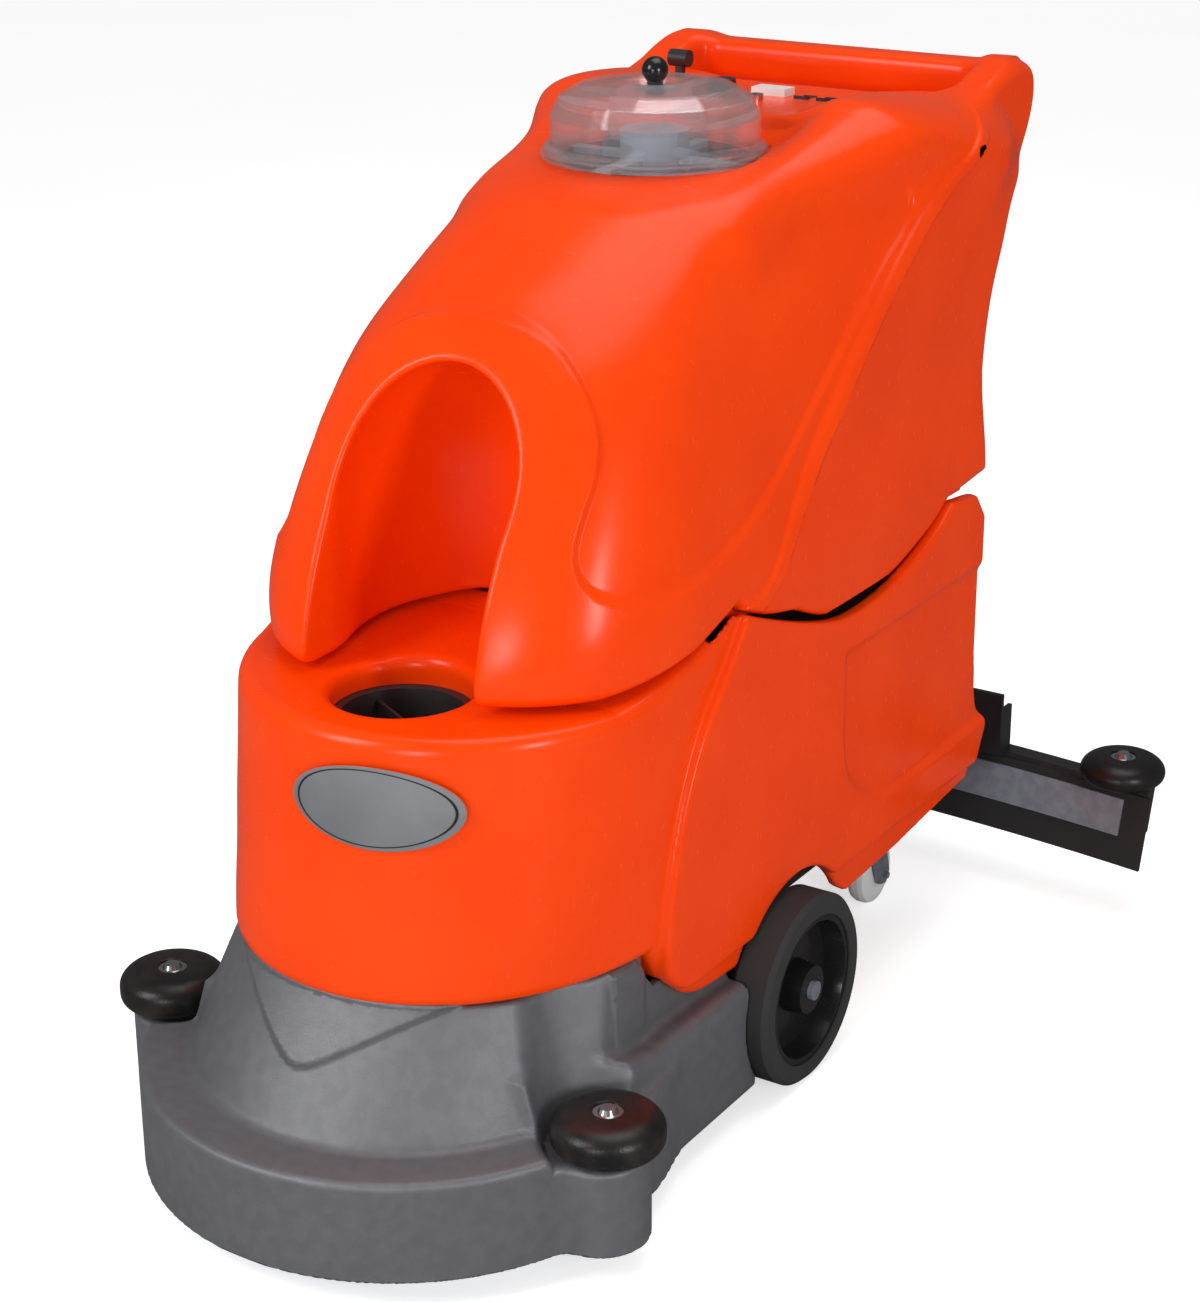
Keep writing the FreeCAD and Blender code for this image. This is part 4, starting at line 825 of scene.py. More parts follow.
@dataclass
class DeckShell:
    """The grey deck cover: a drum skirt, a dome under the tank, roller scallops and side skirts."""

    centre_y: float = -333.0
    radius: float = 257.0
    low: float = 28.0
    ledge: float = 128.0
    wall: float = 8.0
    roller: Point3 = (254.0, -382.0, 118.0)
    scallop: float = 58.0
    saddle: float = 238.0
    wheel_room: float = 104.0
    axle_z: float = 100.0
    dome_offset: float = 8.0
    dome_lean: float = 69.0
    dome_rise: float = 110.0
    dome_radius: float = 213.0
    dome_taper: float = 7.0
    dome_top: float = 238.0
    dome_back: float = -249.0
    valley_depth: float = 5.0
    lobe_radius: float = 46.0
    boss_radius: float = 16.0
    boss_foot: float = 58.0
    bolt_room: float = 6.05
    passage: Point3 = (196.0, -250.0, 90.0)
    cheek_middle: Point3 = (201.5, -190.0, 165.0)
    cheek_half: Point3 = (5.5, 105.0, 70.0)

    def outer(self, x: Grid, y: Grid, z: Grid) -> Grid:
        """The cover's outside.

        Args:
            x: X coordinates.
            y: Y coordinates.
            z: Z coordinates.

        Returns:
            The field.
        """
        side = np.abs(x)
        away = np.sqrt(x ** 2 + (y - self.centre_y) ** 2)
        drum = soft_max(away - self.radius, z - self.ledge, 8.0)
        share = np.clip((z - self.ledge) / self.dome_rise, 0.0, 1.0)
        dome_y = self.centre_y + self.dome_offset + share * self.dome_lean
        dome = np.sqrt(x ** 2 + (y - dome_y) ** 2) - (self.dome_radius - self.dome_taper * share)
        dome = soft_max(dome * 0.86, z - self.dome_top, 3.0)
        dome = np.maximum(dome, y - self.dome_back)
        raised = outline_distance(DECK_VALLEY, side, z)
        dome = dome - self.valley_depth * (1.0 - ramp(raised, -8.0, 2.0)) * ramp(-y, 330.0, 400.0)
        whole = soft_min(drum, dome, 8.0)
        roof = outline_distance(SKIRT_OUTLINE, y, z)
        skirt = soft_max(side - self.saddle, roof, 16.0)
        skirt = soft_max(skirt, np.where(y < self.centre_y, away - self.radius, -1000.0), 6.0)
        whole = soft_min(whole, skirt, 10.0)
        post = np.sqrt((side - self.roller[0]) ** 2 + (y - self.roller[1]) ** 2)
        inward = np.sqrt((side - self.roller[0] + 8) ** 2 + (y - self.roller[1]) ** 2)
        lobe = soft_max(inward - self.lobe_radius, z - self.roller[2], 10.0)
        whole = soft_min(whole, lobe, 14.0)
        flared = self.scallop + 0.28 * (z - self.roller[2])
        cup = np.maximum(post - flared, self.roller[2] - z)
        return soft_max(whole, -cup, 8.0)

    def distance(self, x: Grid, y: Grid, z: Grid) -> Grid:
        """The finished cover, hollow below.

        Args:
            x: X coordinates.
            y: Y coordinates.
            z: Z coordinates.

        Returns:
            The field.
        """
        side = np.abs(x)
        outside = self.outer(x, y, z)
        whole = np.maximum(outside, self.low - z)
        inside = outside + self.wall
        whole = soft_max(whole, -inside, 2.0)
        post = np.sqrt((side - self.roller[0]) ** 2 + (y - self.roller[1]) ** 2)
        boss = np.maximum(post - self.boss_radius, np.maximum(z - self.roller[2], self.boss_foot - z))
        whole = soft_min(whole, boss, 6.0)
        whole = np.maximum(whole, self.bolt_room - post)
        passage = np.maximum(side - self.passage[0], np.maximum(self.passage[1] - y, self.passage[2] - z))
        whole = np.maximum(whole, -passage)
        crown = np.interp(y, (-330.0, -262.0, -228.0, -60.0), (234.0, 234.0, 196.0, 196.0))
        reaches = [np.abs(place - middle) - half
                   for place, middle, half in zip((side, y, z), self.cheek_middle, self.cheek_half)]
        cheek = np.maximum(reaches[0], np.maximum(reaches[1], reaches[2]))
        cheek = np.maximum(cheek, z - crown)
        from_axle = np.sqrt(y ** 2 + (z - self.axle_z) ** 2)
        cheek = np.maximum(cheek, self.wheel_room - from_axle)
        whole = soft_min(whole, cheek, 9.0)
        return np.maximum(whole, np.maximum(self.wheel_room - from_axle, self.low - z))

    def hidden(self, x: Grid, y: Grid, z: Grid) -> Grid:
        """Negative on the faces that the outside conceals."""
        return self.outer(x, y, z) + 5.0


SKIRT_OUTLINE: List[Point2] = [(-414, 0), (-75, 0), (-75, 143), (-262, 151), (-400, 180), (-414, 174)]
DECK_VALLEY: List[Point2] = flowing([(0, 178), (18, 183), (55, 203), (95, 225), (150, 250)], 6) + [
    (150, 400), (-20, 400), (-20, 178)]


# ------------------------------------------------------------------------------------------------
# Finishes
# ------------------------------------------------------------------------------------------------
class Graph:
    """A node tree while it is being wired."""

    def __init__(self, tree: bpy.types.NodeTree) -> None:
        """Keeps the tree."""
        self.tree = tree

    def node(self, kind: str, **settings: object) -> bpy.types.Node:
        """Adds a node and sets its properties.

        Args:
            kind: the node's type.
            **settings: the properties to set.

        Returns:
            The node.
        """
        made = self.tree.nodes.new(kind)
        for name, value in settings.items():
            setattr(made, name, value)
        return made

    def wire(self, source: bpy.types.NodeSocket, target: bpy.types.NodeSocket) -> None:
        """Links two sockets."""
        self.tree.links.new(source, target)

    def noise(self, vector: bpy.types.NodeSocket, scale: float, detail: float = 3.0,
              roughness: float = 0.55) -> bpy.types.NodeSocket:
        """Adds a noise texture and returns its value.

        Args:
            vector: the coordinates that it reads.
            scale: how fine the pattern is.
            detail: how many finer layers it has.
            roughness: how strong the finer layers are.

        Returns:
            The result.
        """
        made = self.node("ShaderNodeTexNoise")
        made.inputs["Scale"].default_value = scale
        made.inputs["Detail"].default_value = detail
        made.inputs["Roughness"].default_value = roughness
        self.wire(vector, made.inputs["Vector"])
        return made.outputs["Fac"]

    def span(self, value: bpy.types.NodeSocket, low: float, high: float, to_low: float = 0.0,
             to_high: float = 1.0) -> bpy.types.NodeSocket:
        """Adds a smooth map from one range to another and returns its result.

        Args:
            value: the socket to map.
            low: start of the range.
            high: end of the range.
            to_low: result at the start.
            to_high: result at the end.

        Returns:
            The result.
        """
        made = self.node("ShaderNodeMapRange", interpolation_type="SMOOTHSTEP")
        for name, number in (("From Min", low), ("From Max", high), ("To Min", to_low), ("To Max", to_high)):
            made.inputs[name].default_value = number
        self.wire(value, made.inputs["Value"])
        return made.outputs["Result"]

    def maths(self, operation: str, first: object, second: object = 0.0) -> bpy.types.NodeSocket:
        """Adds a Math node; each input is a socket or a number.

        Args:
            operation: what the node works out.
            first: first input.
            second: second input.

        Returns:
            The result.
        """
        made = self.node("ShaderNodeMath", operation=operation)
        for index, value in enumerate((first, second)):
            if isinstance(value, (int, float)):
                made.inputs[index].default_value = value
            else:
                self.wire(value, made.inputs[index])
        return made.outputs[0]

    def mix(self, share: bpy.types.NodeSocket, first: object, second: object,
            mode: str = "MIX") -> bpy.types.NodeSocket:
        """Adds a colour Mix node; each colour is a socket or a tuple.

        Args:
            share: how much of the second input shows.
            first: first input.
            second: second input.
            mode: how the two are blended.

        Returns:
            The result.
        """
        made = self.node("ShaderNodeMix", data_type="RGBA", blend_type=mode)
        self.wire(share, made.inputs[0])
        for index, value in ((6, first), (7, second)):
            if isinstance(value, tuple):
                made.inputs[index].default_value = value + (1.0,)
            else:
                self.wire(value, made.inputs[index])
        return made.outputs[2]


def variation_group() -> bpy.types.NodeTree:
    """Builds, once, the group that breaks up a plain surface: mottling, fine grain and scuffs.

    Returns:
        The group.
    """
    name = "surface_variation"
    if name in bpy.data.node_groups:
        return bpy.data.node_groups[name]
    group = bpy.data.node_groups.new(name, "ShaderNodeTree")
    for label, kind in (("Vector", "NodeSocketVector"), ("Mottle Scale", "NodeSocketFloat"),
                        ("Grain Scale", "NodeSocketFloat")):
        group.interface.new_socket(label, in_out="INPUT", socket_type=kind)
    for label in ("Mottle", "Grain", "Scuff"):
        group.interface.new_socket(label, in_out="OUTPUT", socket_type="NodeSocketFloat")
    graph = Graph(group)
    source = graph.node("NodeGroupInput")
    result = graph.node("NodeGroupOutput")
    mottle = graph.node("ShaderNodeTexNoise")
    mottle.inputs["Detail"].default_value = 4.0
    graph.wire(source.outputs["Vector"], mottle.inputs["Vector"])
    graph.wire(source.outputs["Mottle Scale"], mottle.inputs["Scale"])
    grain = graph.node("ShaderNodeTexNoise")
    grain.inputs["Detail"].default_value = 2.0
    graph.wire(source.outputs["Vector"], grain.inputs["Vector"])
    graph.wire(source.outputs["Grain Scale"], grain.inputs["Scale"])
    scuffed = graph.node("ShaderNodeMapping")
    scuffed.inputs["Scale"].default_value = (14.0, 90.0, 40.0)
    scuffed.inputs["Rotation"].default_value = (0.5, 0.3, 0.7)
    graph.wire(source.outputs["Vector"], scuffed.inputs["Vector"])
    scuff = graph.noise(scuffed.outputs["Vector"], 1.6, 5.0, 0.7)
    graph.wire(graph.span(mottle.outputs["Fac"], 0.32, 0.68), result.inputs["Mottle"])
    graph.wire(grain.outputs["Fac"], result.inputs["Grain"])
    graph.wire(graph.span(scuff, 0.6, 0.72), result.inputs["Scuff"])
    return group


def dust_group() -> bpy.types.NodeTree:
    """Builds, once, the group that gathers dust low down.

    Returns:
        The group.
    """
    name = "settled_dust"
    if name in bpy.data.node_groups:
        return bpy.data.node_groups[name]
    group = bpy.data.node_groups.new(name, "ShaderNodeTree")
    for label, kind in (("Vector", "NodeSocketVector"), ("Amount", "NodeSocketFloat"),
                        ("Reach", "NodeSocketFloat")):
        group.interface.new_socket(label, in_out="INPUT", socket_type=kind)
    group.interface.new_socket("Dust", in_out="OUTPUT", socket_type="NodeSocketFloat")
    graph = Graph(group)
    source = graph.node("NodeGroupInput")
    result = graph.node("NodeGroupOutput")
    split = graph.node("ShaderNodeSeparateXYZ")
    graph.wire(source.outputs["Vector"], split.inputs[0])
    height = graph.maths("DIVIDE", split.outputs["Z"], source.outputs["Reach"])
    low = graph.span(height, 1.0, 0.0)
    patches = graph.span(graph.noise(source.outputs["Vector"], 22.0, 6.0, 0.65), 0.42, 0.66)
    specks = graph.span(graph.noise(source.outputs["Vector"], 260.0, 2.0), 0.62, 0.74)
    cover = graph.maths("MAXIMUM", patches, specks)
    cover = graph.maths("MULTIPLY", cover, low)
    graph.wire(graph.maths("MULTIPLY", cover, source.outputs["Amount"]), result.inputs["Dust"])
    return group


class Dressing:
    """What every finish does: it builds its material once and puts it on pieces."""

    name: str

    def lay(self, graph: Graph, surface: bpy.types.Node) -> None:
        """Wires this finish's own nodes into the bare surface."""
        raise NotImplementedError

    def material(self) -> bpy.types.Material:
        """Builds the node material once and returns it.

        Returns:
            The material.
        """
        if self.name in bpy.data.materials:
            return bpy.data.materials[self.name]
        made = bpy.data.materials.new(self.name)
        made.use_nodes = True
        made.node_tree.nodes.clear()
        graph = Graph(made.node_tree)
        output = graph.node("ShaderNodeOutputMaterial")
        surface = graph.node("ShaderNodeBsdfPrincipled")
        graph.wire(surface.outputs[0], output.inputs[0])
        self.lay(graph, surface)
        return made

    def dress(self, *pieces: bpy.types.Object) -> None:
        """Gives the finish to every slot of the pieces.

        Args:
            *pieces: the objects to dress.
        """
        for piece in pieces:
            slots = piece.material_slots
            if not slots:
                piece.data.materials.append(self.material())
            for slot in slots:
                slot.material = self.material()


@dataclass(frozen=True)
class Finish(Dressing):
    """A moulded, painted or bare surface with mottling, grain and dust."""

    name: str
    colour: Point3
    shade: Point3
    roughness: float = 0.4
    spread: float = 0.12
    metallic: float = 0.0
    mottle_scale: float = 9.0
    grain_scale: float = 420.0
    grain_bump: float = 0.04
    ripple_scale: float = 16.0
    ripple_bump: float = 0.0
    scuff: float = 0.15
    dust: float = 0.0
    dust_reach: float = 0.3
    dust_colour: Point3 = (0.28, 0.2, 0.13)
    coat: float = 0.0
    coat_roughness: float = 0.1
    specular: float = 0.5

    def lay(self, graph: Graph, surface: bpy.types.Node) -> None:
        """Wires colour, roughness, dust and grain.

        Args:
            graph: the material's node tree.
            surface: its Principled node.
        """
        place = graph.node("ShaderNodeTexCoord").outputs["Object"]
        varied = graph.node("ShaderNodeGroup", node_tree=variation_group())
        varied.inputs["Mottle Scale"].default_value = self.mottle_scale
        varied.inputs["Grain Scale"].default_value = self.grain_scale
        graph.wire(place, varied.inputs["Vector"])
        colour = graph.mix(varied.outputs["Mottle"], self.colour, self.shade)
        rough = graph.maths("MULTIPLY_ADD", varied.outputs["Grain"], self.spread)
        rough.node.inputs[2].default_value = self.roughness - self.spread * 0.5
        scuffed = graph.maths("MULTIPLY", varied.outputs["Scuff"], self.scuff)
        rough = graph.maths("ADD", rough, scuffed)
        if self.dust > 0:
            dusty = graph.node("ShaderNodeGroup", node_tree=dust_group())
            dusty.inputs["Amount"].default_value = self.dust
            dusty.inputs["Reach"].default_value = self.dust_reach
            graph.wire(place, dusty.inputs["Vector"])
            colour = graph.mix(dusty.outputs["Dust"], colour, self.dust_colour)
            rough = graph.maths("ADD", rough, graph.maths("MULTIPLY", dusty.outputs["Dust"], 0.4))
        graph.wire(colour, surface.inputs["Base Color"])
        graph.wire(rough, surface.inputs["Roughness"])
        height = graph.maths("MULTIPLY", varied.outputs["Grain"], self.grain_bump)
        if self.ripple_bump > 0:
            ripple = graph.noise(place, self.ripple_scale, 1.0, 0.4)
            height = graph.maths("ADD", height, graph.maths("MULTIPLY", ripple, self.ripple_bump))
        bump = graph.node("ShaderNodeBump")
        bump.inputs["Strength"].default_value = 1.0
        bump.inputs["Distance"].default_value = 0.01
        graph.wire(height, bump.inputs["Height"])
        graph.wire(bump.outputs[0], surface.inputs["Normal"])
        surface.inputs["Metallic"].default_value = self.metallic
        surface.inputs["Coat Weight"].default_value = self.coat
        surface.inputs["Coat Roughness"].default_value = self.coat_roughness
        surface.inputs["Specular IOR Level"].default_value = self.specular


ORANGE = Finish("orange_polyethylene", (0.94, 0.059, 0.0008), (0.9, 0.052, 0.0006), roughness=0.24,
                spread=0.08, grain_scale=700.0, grain_bump=0.006, ripple_scale=11.0, ripple_bump=0.05,
                scuff=0.1, specular=0.22)
GREY_DECK = Finish("grey_metallic_moulding", (0.185, 0.187, 0.202), (0.165, 0.167, 0.18), roughness=0.4,
                   spread=0.3, metallic=0.45, mottle_scale=70.0, grain_scale=1500.0, grain_bump=0.03,
                   ripple_scale=24.0, ripple_bump=0.015, scuff=0.06, dust=0.22, dust_reach=0.1,
                   dust_colour=(0.13, 0.1, 0.075), specular=0.6)
GLOSS_BLACK = Finish("gloss_black_moulding", (0.008, 0.008, 0.009), (0.014, 0.014, 0.015), roughness=0.2,
                     spread=0.1, grain_scale=500.0, grain_bump=0.004, scuff=0.15)
ROLLER_BLACK = Finish("roller_black", (0.007, 0.0065, 0.007), (0.012, 0.011, 0.011), roughness=0.34,
                      spread=0.16, mottle_scale=26.0, grain_scale=620.0, grain_bump=0.02, ripple_scale=60.0,
                      ripple_bump=0.03, scuff=0.2, dust=0.25, dust_reach=0.2, specular=0.4)
SATIN_BLACK = Finish("satin_black_moulding", (0.012, 0.012, 0.013), (0.02, 0.02, 0.021), roughness=0.42,
                     spread=0.15, grain_scale=900.0, grain_bump=0.02, scuff=0.15, dust=0.35, dust_reach=0.12)
BLACK_STEEL = Finish("black_powder_coat", (0.013, 0.013, 0.014), (0.022, 0.022, 0.024), roughness=0.38,
                     spread=0.15, grain_scale=1100.0, grain_bump=0.03, scuff=0.2, dust=0.3, dust_reach=0.16)
RUBBER = Finish("black_rubber", (0.016, 0.016, 0.016), (0.026, 0.025, 0.024), roughness=0.62, spread=0.15,
                grain_scale=700.0, grain_bump=0.03, scuff=0.1, dust=0.35, dust_reach=0.14)
TYRE = Finish("tyre_rubber", (0.022, 0.021, 0.02), (0.04, 0.036, 0.032), roughness=0.68, spread=0.15,
              mottle_scale=35.0, grain_scale=600.0, grain_bump=0.04, scuff=0.1, dust=0.8, dust_reach=0.26,
              dust_colour=(0.2, 0.15, 0.1))
STRIP = Finish("galvanised_strip", (0.24, 0.26, 0.3), (0.19, 0.21, 0.25), roughness=0.4, spread=0.2,
               metallic=0.1, mottle_scale=90.0, grain_scale=900.0, grain_bump=0.01, scuff=0.2)
ZINC = Finish("galvanised_steel", (0.24, 0.26, 0.3), (0.17, 0.19, 0.225), roughness=0.36, spread=0.2,
              metallic=0.35, mottle_scale=70.0, grain_scale=800.0, grain_bump=0.008, scuff=0.2)
BRIGHT_STEEL = Finish("bright_screw_steel", (0.62, 0.63, 0.64), (0.5, 0.5, 0.51), roughness=0.22, spread=0.1,
                      metallic=1.0, grain_scale=600.0, grain_bump=0.004, scuff=0.2)
NYLON = Finish("pale_nylon", (0.72, 0.71, 0.67), (0.62, 0.6, 0.55), roughness=0.45, dust=0.5, dust_reach=0.08,
               mottle_scale=30.0)
CAGE_GREY = Finish("float_cage_grey", (0.36, 0.42, 0.5), (0.3, 0.36, 0.44), roughness=0.35, mottle_scale=25.0)
FLOAT_WHITE = Finish("float_white", (0.8, 0.8, 0.78), (0.7, 0.7, 0.68), roughness=0.35, mottle_scale=25.0)
MOTOR_PAINT = Finish("motor_paint", (0.03, 0.032, 0.036), (0.045, 0.046, 0.05), roughness=0.4, spread=0.2)
CAST_METAL = Finish("gearbox_casting", (0.33, 0.34, 0.35), (0.24, 0.25, 0.26), roughness=0.5, metallic=0.8,
                    mottle_scale=45.0, grain_bump=0.08, grain_scale=300.0)
VALVE = Finish("valve_plastic", (0.05, 0.06, 0.07), (0.07, 0.08, 0.09), roughness=0.4)
BATTERY = Finish("battery_case", (0.028, 0.03, 0.034), (0.04, 0.042, 0.046), roughness=0.5, mottle_scale=20.0)
HOSE_GREY = Finish("hose_grey", (0.05, 0.05, 0.054), (0.075, 0.075, 0.08), roughness=0.45, dust=0.2)
BRUSH_PLASTIC = Finish("brush_block_plastic", (0.05, 0.09, 0.2), (0.04, 0.07, 0.16), roughness=0.45, dust=0.6)
TUFTS = Finish("brush_tufts", (0.06, 0.08, 0.14), (0.03, 0.04, 0.08), roughness=0.6, dust=0.6,
               dust_reach=0.06)
GAUGE = Finish("gauge_face", (0.02, 0.05, 0.03), (0.03, 0.07, 0.04), roughness=0.18, coat=0.5)
SILVER = Finish("badge_silver", (0.55, 0.56, 0.58), (0.46, 0.47, 0.5), roughness=0.3, metallic=0.9,
                mottle_scale=14.0, grain_scale=900.0, grain_bump=0.004)


@dataclass(frozen=True)
class BadgeFinish(Finish):
    """Brushed silver with painted shade that darkens it downward, and a fine printed line inside its rim."""

    middle: Point3 = (0.0, 0.0, 0.0)
    half: Tuple[float, float] = (0.09, 0.04)
    line: Point3 = (0.05, 0.05, 0.055)

    def lay(self, graph: Graph, surface: bpy.types.Node) -> None:
        """Lays the line and the painted shade over the silver's colour.

        Args:
            graph: the material's node tree.
            surface: its Principled node.
        """
        super().lay(graph, surface)
        silver = surface.inputs["Base Color"].links[0].from_socket
        split = graph.node("ShaderNodeSeparateXYZ")
        graph.wire(graph.node("ShaderNodeTexCoord").outputs["Object"], split.inputs[0])
        across = graph.maths("SUBTRACT", split.outputs["X"], self.middle[0])
        across = graph.maths("DIVIDE", across, self.half[0])
        up = graph.maths("SUBTRACT", split.outputs["Z"], self.middle[2])
        up = graph.maths("DIVIDE", up, self.half[1])
        spread = graph.maths("SQRT", graph.maths("ADD", graph.maths("MULTIPLY", across, across),
                                                 graph.maths("MULTIPLY", up, up)))
        # painted shade: the silver is mixed with dark grey towards the badge's lower edge, as if lit from
        # above
        silver_with_painted_shade = graph.mix(graph.span(up, 0.9, -0.9, 0.0, 0.35), silver, (0.2, 0.21, 0.225))
        ring = graph.maths("MULTIPLY", graph.span(spread, 0.895, 0.905), graph.span(spread, 0.935, 0.925))
        graph.wire(graph.mix(ring, silver_with_painted_shade, self.line), surface.inputs["Base Color"])


@dataclass(frozen=True)
class ClearFinish(Dressing):
    """Clear moulded plastic with faint smears."""

    name: str = "clear_polycarbonate"
    tint: Point3 = (0.93, 0.94, 0.95)
    smeared_tint: Point3 = (0.86, 0.87, 0.88)
    index: float = 1.5
    transmission: float = 0.86
    alpha: float = 0.5

    def lay(self, graph: Graph, surface: bpy.types.Node) -> None:
        """Wires the smears and the clearness.

        Args:
            graph: the material's node tree.
            surface: its Principled node.
        """
        place = graph.node("ShaderNodeTexCoord").outputs["Object"]
        smear = graph.noise(place, 9.0, 5.0, 0.6)
        graph.wire(graph.span(smear, 0.35, 0.7, 0.0, 0.03), surface.inputs["Roughness"])
        graph.wire(graph.mix(graph.span(smear, 0.4, 0.75), self.tint, self.smeared_tint),
                   surface.inputs["Base Color"])
        surface.inputs["Transmission Weight"].default_value = self.transmission
        surface.inputs["IOR"].default_value = self.index
        surface.inputs["Alpha"].default_value = self.alpha


CLEAR = ClearFinish()

NODE_FINISHES: Dict[str, Dressing] = {
    "filler_strainer": SATIN_BLACK, "chassis_frame": BLACK_STEEL, "wheel_axle": ZINC, "axle_collars": ZINC,
    "wheel_": GLOSS_BLACK, "tyre_": TYRE, "caster_plates": ZINC, "caster_fork_": ZINC, "caster_wheel_": NYLON,
    "brush_motor": MOTOR_PAINT, "brush_gearbox": CAST_METAL, "brush_hub": CAST_METAL,
    "brush_block": BRUSH_PLASTIC, "brush_bristles": TUFTS, "front_roller_bolts": BRIGHT_STEEL,
    "front_roller_": GLOSS_BLACK, "battery_lead": RUBBER, "battery_gauge": GAUGE, "battery_": BATTERY,
    "vacuum_motor": MOTOR_PAINT, "solution_valve": VALVE, "feed_hose": HOSE_GREY, "lid_seal": CLEAR,
    "lid_dome": CLEAR, "lid_knob": GLOSS_BLACK, "float_cage": CAGE_GREY, "float_ball": FLOAT_WHITE,
    "control_panel": SATIN_BLACK, "panel_screws": BRIGHT_STEEL, "switch_": GLOSS_BLACK,
    "water_knob": SATIN_BLACK, "key_switch": BRIGHT_STEEL, "squeegee_lever": SATIN_BLACK, "hinge_leaf": ZINC,
    "squeegee_pivot": ZINC, "squeegee_strips": STRIP, "squeegee_blade": RUBBER,
    "squeegee_roller_bolts": BRIGHT_STEEL,
    "squeegee_roller_": GLOSS_BLACK, "squeegee_": BLACK_STEEL, "suction_port": SATIN_BLACK,
    "suction_hose": HOSE_GREY, "badge_plate": SILVER, "solution_tank": ORANGE, "recovery_tank": ORANGE,
    "deck_cover": GREY_DECK,
}


def finish_for(node: str) -> Dressing:
    """Finds a node's finish by the longest name that it starts with."""
    names = [start for start in NODE_FINISHES if node.startswith(start)]
    return NODE_FINISHES[max(names, key=len)]


# ------------------------------------------------------------------------------------------------
# Studio
# ------------------------------------------------------------------------------------------------
@dataclass
class Studio:
    """Camera, soft lights and a pale floor."""

    position: Point3 = (1.3558, -2.1031, 1.3882)
    azimuth: float = 32.76
    elevation: float = 20.70
    roll: float = -0.30
    lens: float = 73.13
    shift_y: float = -0.0208
    floor_half: float = 14.0
    ambient: float = 0.42
    floor_glow: float = 0.6
    glossy_share: float = 0.3
    floor_in_gloss: Point3 = (0.16, 0.16, 0.16)
    sensor: float = 36.0

    def camera(self) -> None:
        """Places the camera and makes it the scene's."""
        turn = math.radians(self.azimuth)
        tilt = math.radians(self.elevation)
        back = Vector((math.sin(turn) * math.cos(tilt), -math.cos(turn) * math.cos(tilt), math.sin(tilt)))
        right = Vector((0, 0, 1)).cross(back).normalized()
        up = back.cross(right)
        basis = Matrix((right, up, back)).transposed()
        basis = basis @ Matrix.Rotation(math.radians(self.roll), 3, "Z")
        data = bpy.data.cameras.new("camera")
        data.lens = self.lens
        data.sensor_width = self.sensor
        data.shift_y = self.shift_y
        camera = linked("camera", data)
        camera.matrix_world = Matrix.Translation(self.position) @ basis.to_4x4()
        bpy.context.scene.camera = camera

    def softbox(self, name: str, place: Point3, aim: Point3, size: Tuple[float, float], power: float) -> None:
        """Adds an area light that looks at a point.

        Args:
            name: the light's name.
            place: where it stands.
            aim: what it looks at.
            size: its width and height.
            power: its strength in watts.
        """
        data = bpy.data.lights.new(name, "AREA")
        data.shape = "RECTANGLE"
        data.size, data.size_y = size
        data.energy = power
        light = linked(name, data)
        look = (Vector(place) - Vector(aim)).to_track_quat("Z", "Y")
        light.matrix_world = Matrix.Translation(place) @ look.to_matrix().to_4x4()

    def build(self) -> None:
        """Sets up the whole studio."""
        self.camera()
        world = bpy.data.worlds.new("studio_world")
        world.use_nodes = True
        graph = Graph(world.node_tree)
        seen = graph.node("ShaderNodeLightPath").outputs["Is Camera Ray"]
        shiny = graph.node("ShaderNodeLightPath").outputs["Is Glossy Ray"]
        soft = graph.span(shiny, 0.0, 1.0, self.ambient, self.ambient * self.glossy_share)
        lit = graph.maths("MULTIPLY", seen, 1.0 - self.ambient)
        strength = graph.maths("ADD", soft, lit)
        graph.wire(strength, world.node_tree.nodes["Background"].inputs["Strength"])
        world.node_tree.nodes["Background"].inputs["Color"].default_value = (1.0, 1.0, 1.0, 1.0)
        bpy.context.scene.world = world
        bpy.context.scene.view_settings.view_transform = "Standard"
        self.softbox("key_light", (-1.4, -2.8, 2.3), (0, -0.2, 0.5), (1.0, 1.6), 49.0)
        self.softbox("flank_light", (3.0, -1.4, 1.25), (0.2, 0, 0.6), (0.24, 1.1), 32.0)
        self.softbox("top_light", (0.2, 0.4, 3.2), (0, 0, 0.5), (2.0, 2.0), 30.0)
        self.softbox("front_light", (0.7, -3.4, 1.0), (0, -0.2, 0.5), (0.7, 0.7), 20.0)
        bpy.ops.mesh.primitive_plane_add(size=2 * self.floor_half, location=(0, 0, 0))
        floor = bpy.context.object
        floor.name = "studio_floor"
        paint = Finish("floor_paint", (0.86, 0.86, 0.86), (0.84, 0.84, 0.84), roughness=0.6, grain_bump=0.002,
                       scuff=0.02, mottle_scale=1.2, specular=0.1)
        paint.dress(floor)
        tree = paint.material().node_tree
        surface = next(n for n in tree.nodes if n.bl_idname == "ShaderNodeBsdfPrincipled")
        graph = Graph(tree)
        path = graph.node("ShaderNodeLightPath")
        graph.wire(graph.maths("MULTIPLY", path.outputs["Is Camera Ray"], self.floor_glow),
                   surface.inputs["Emission Strength"])
        paint_colour = surface.inputs["Base Color"].links[0].from_socket
        graph.wire(graph.mix(path.outputs["Is Glossy Ray"], paint_colour, self.floor_in_gloss),
                   surface.inputs["Base Color"])
        surface.inputs["Emission Color"].default_value = (1.0, 1.0, 1.0, 1.0)


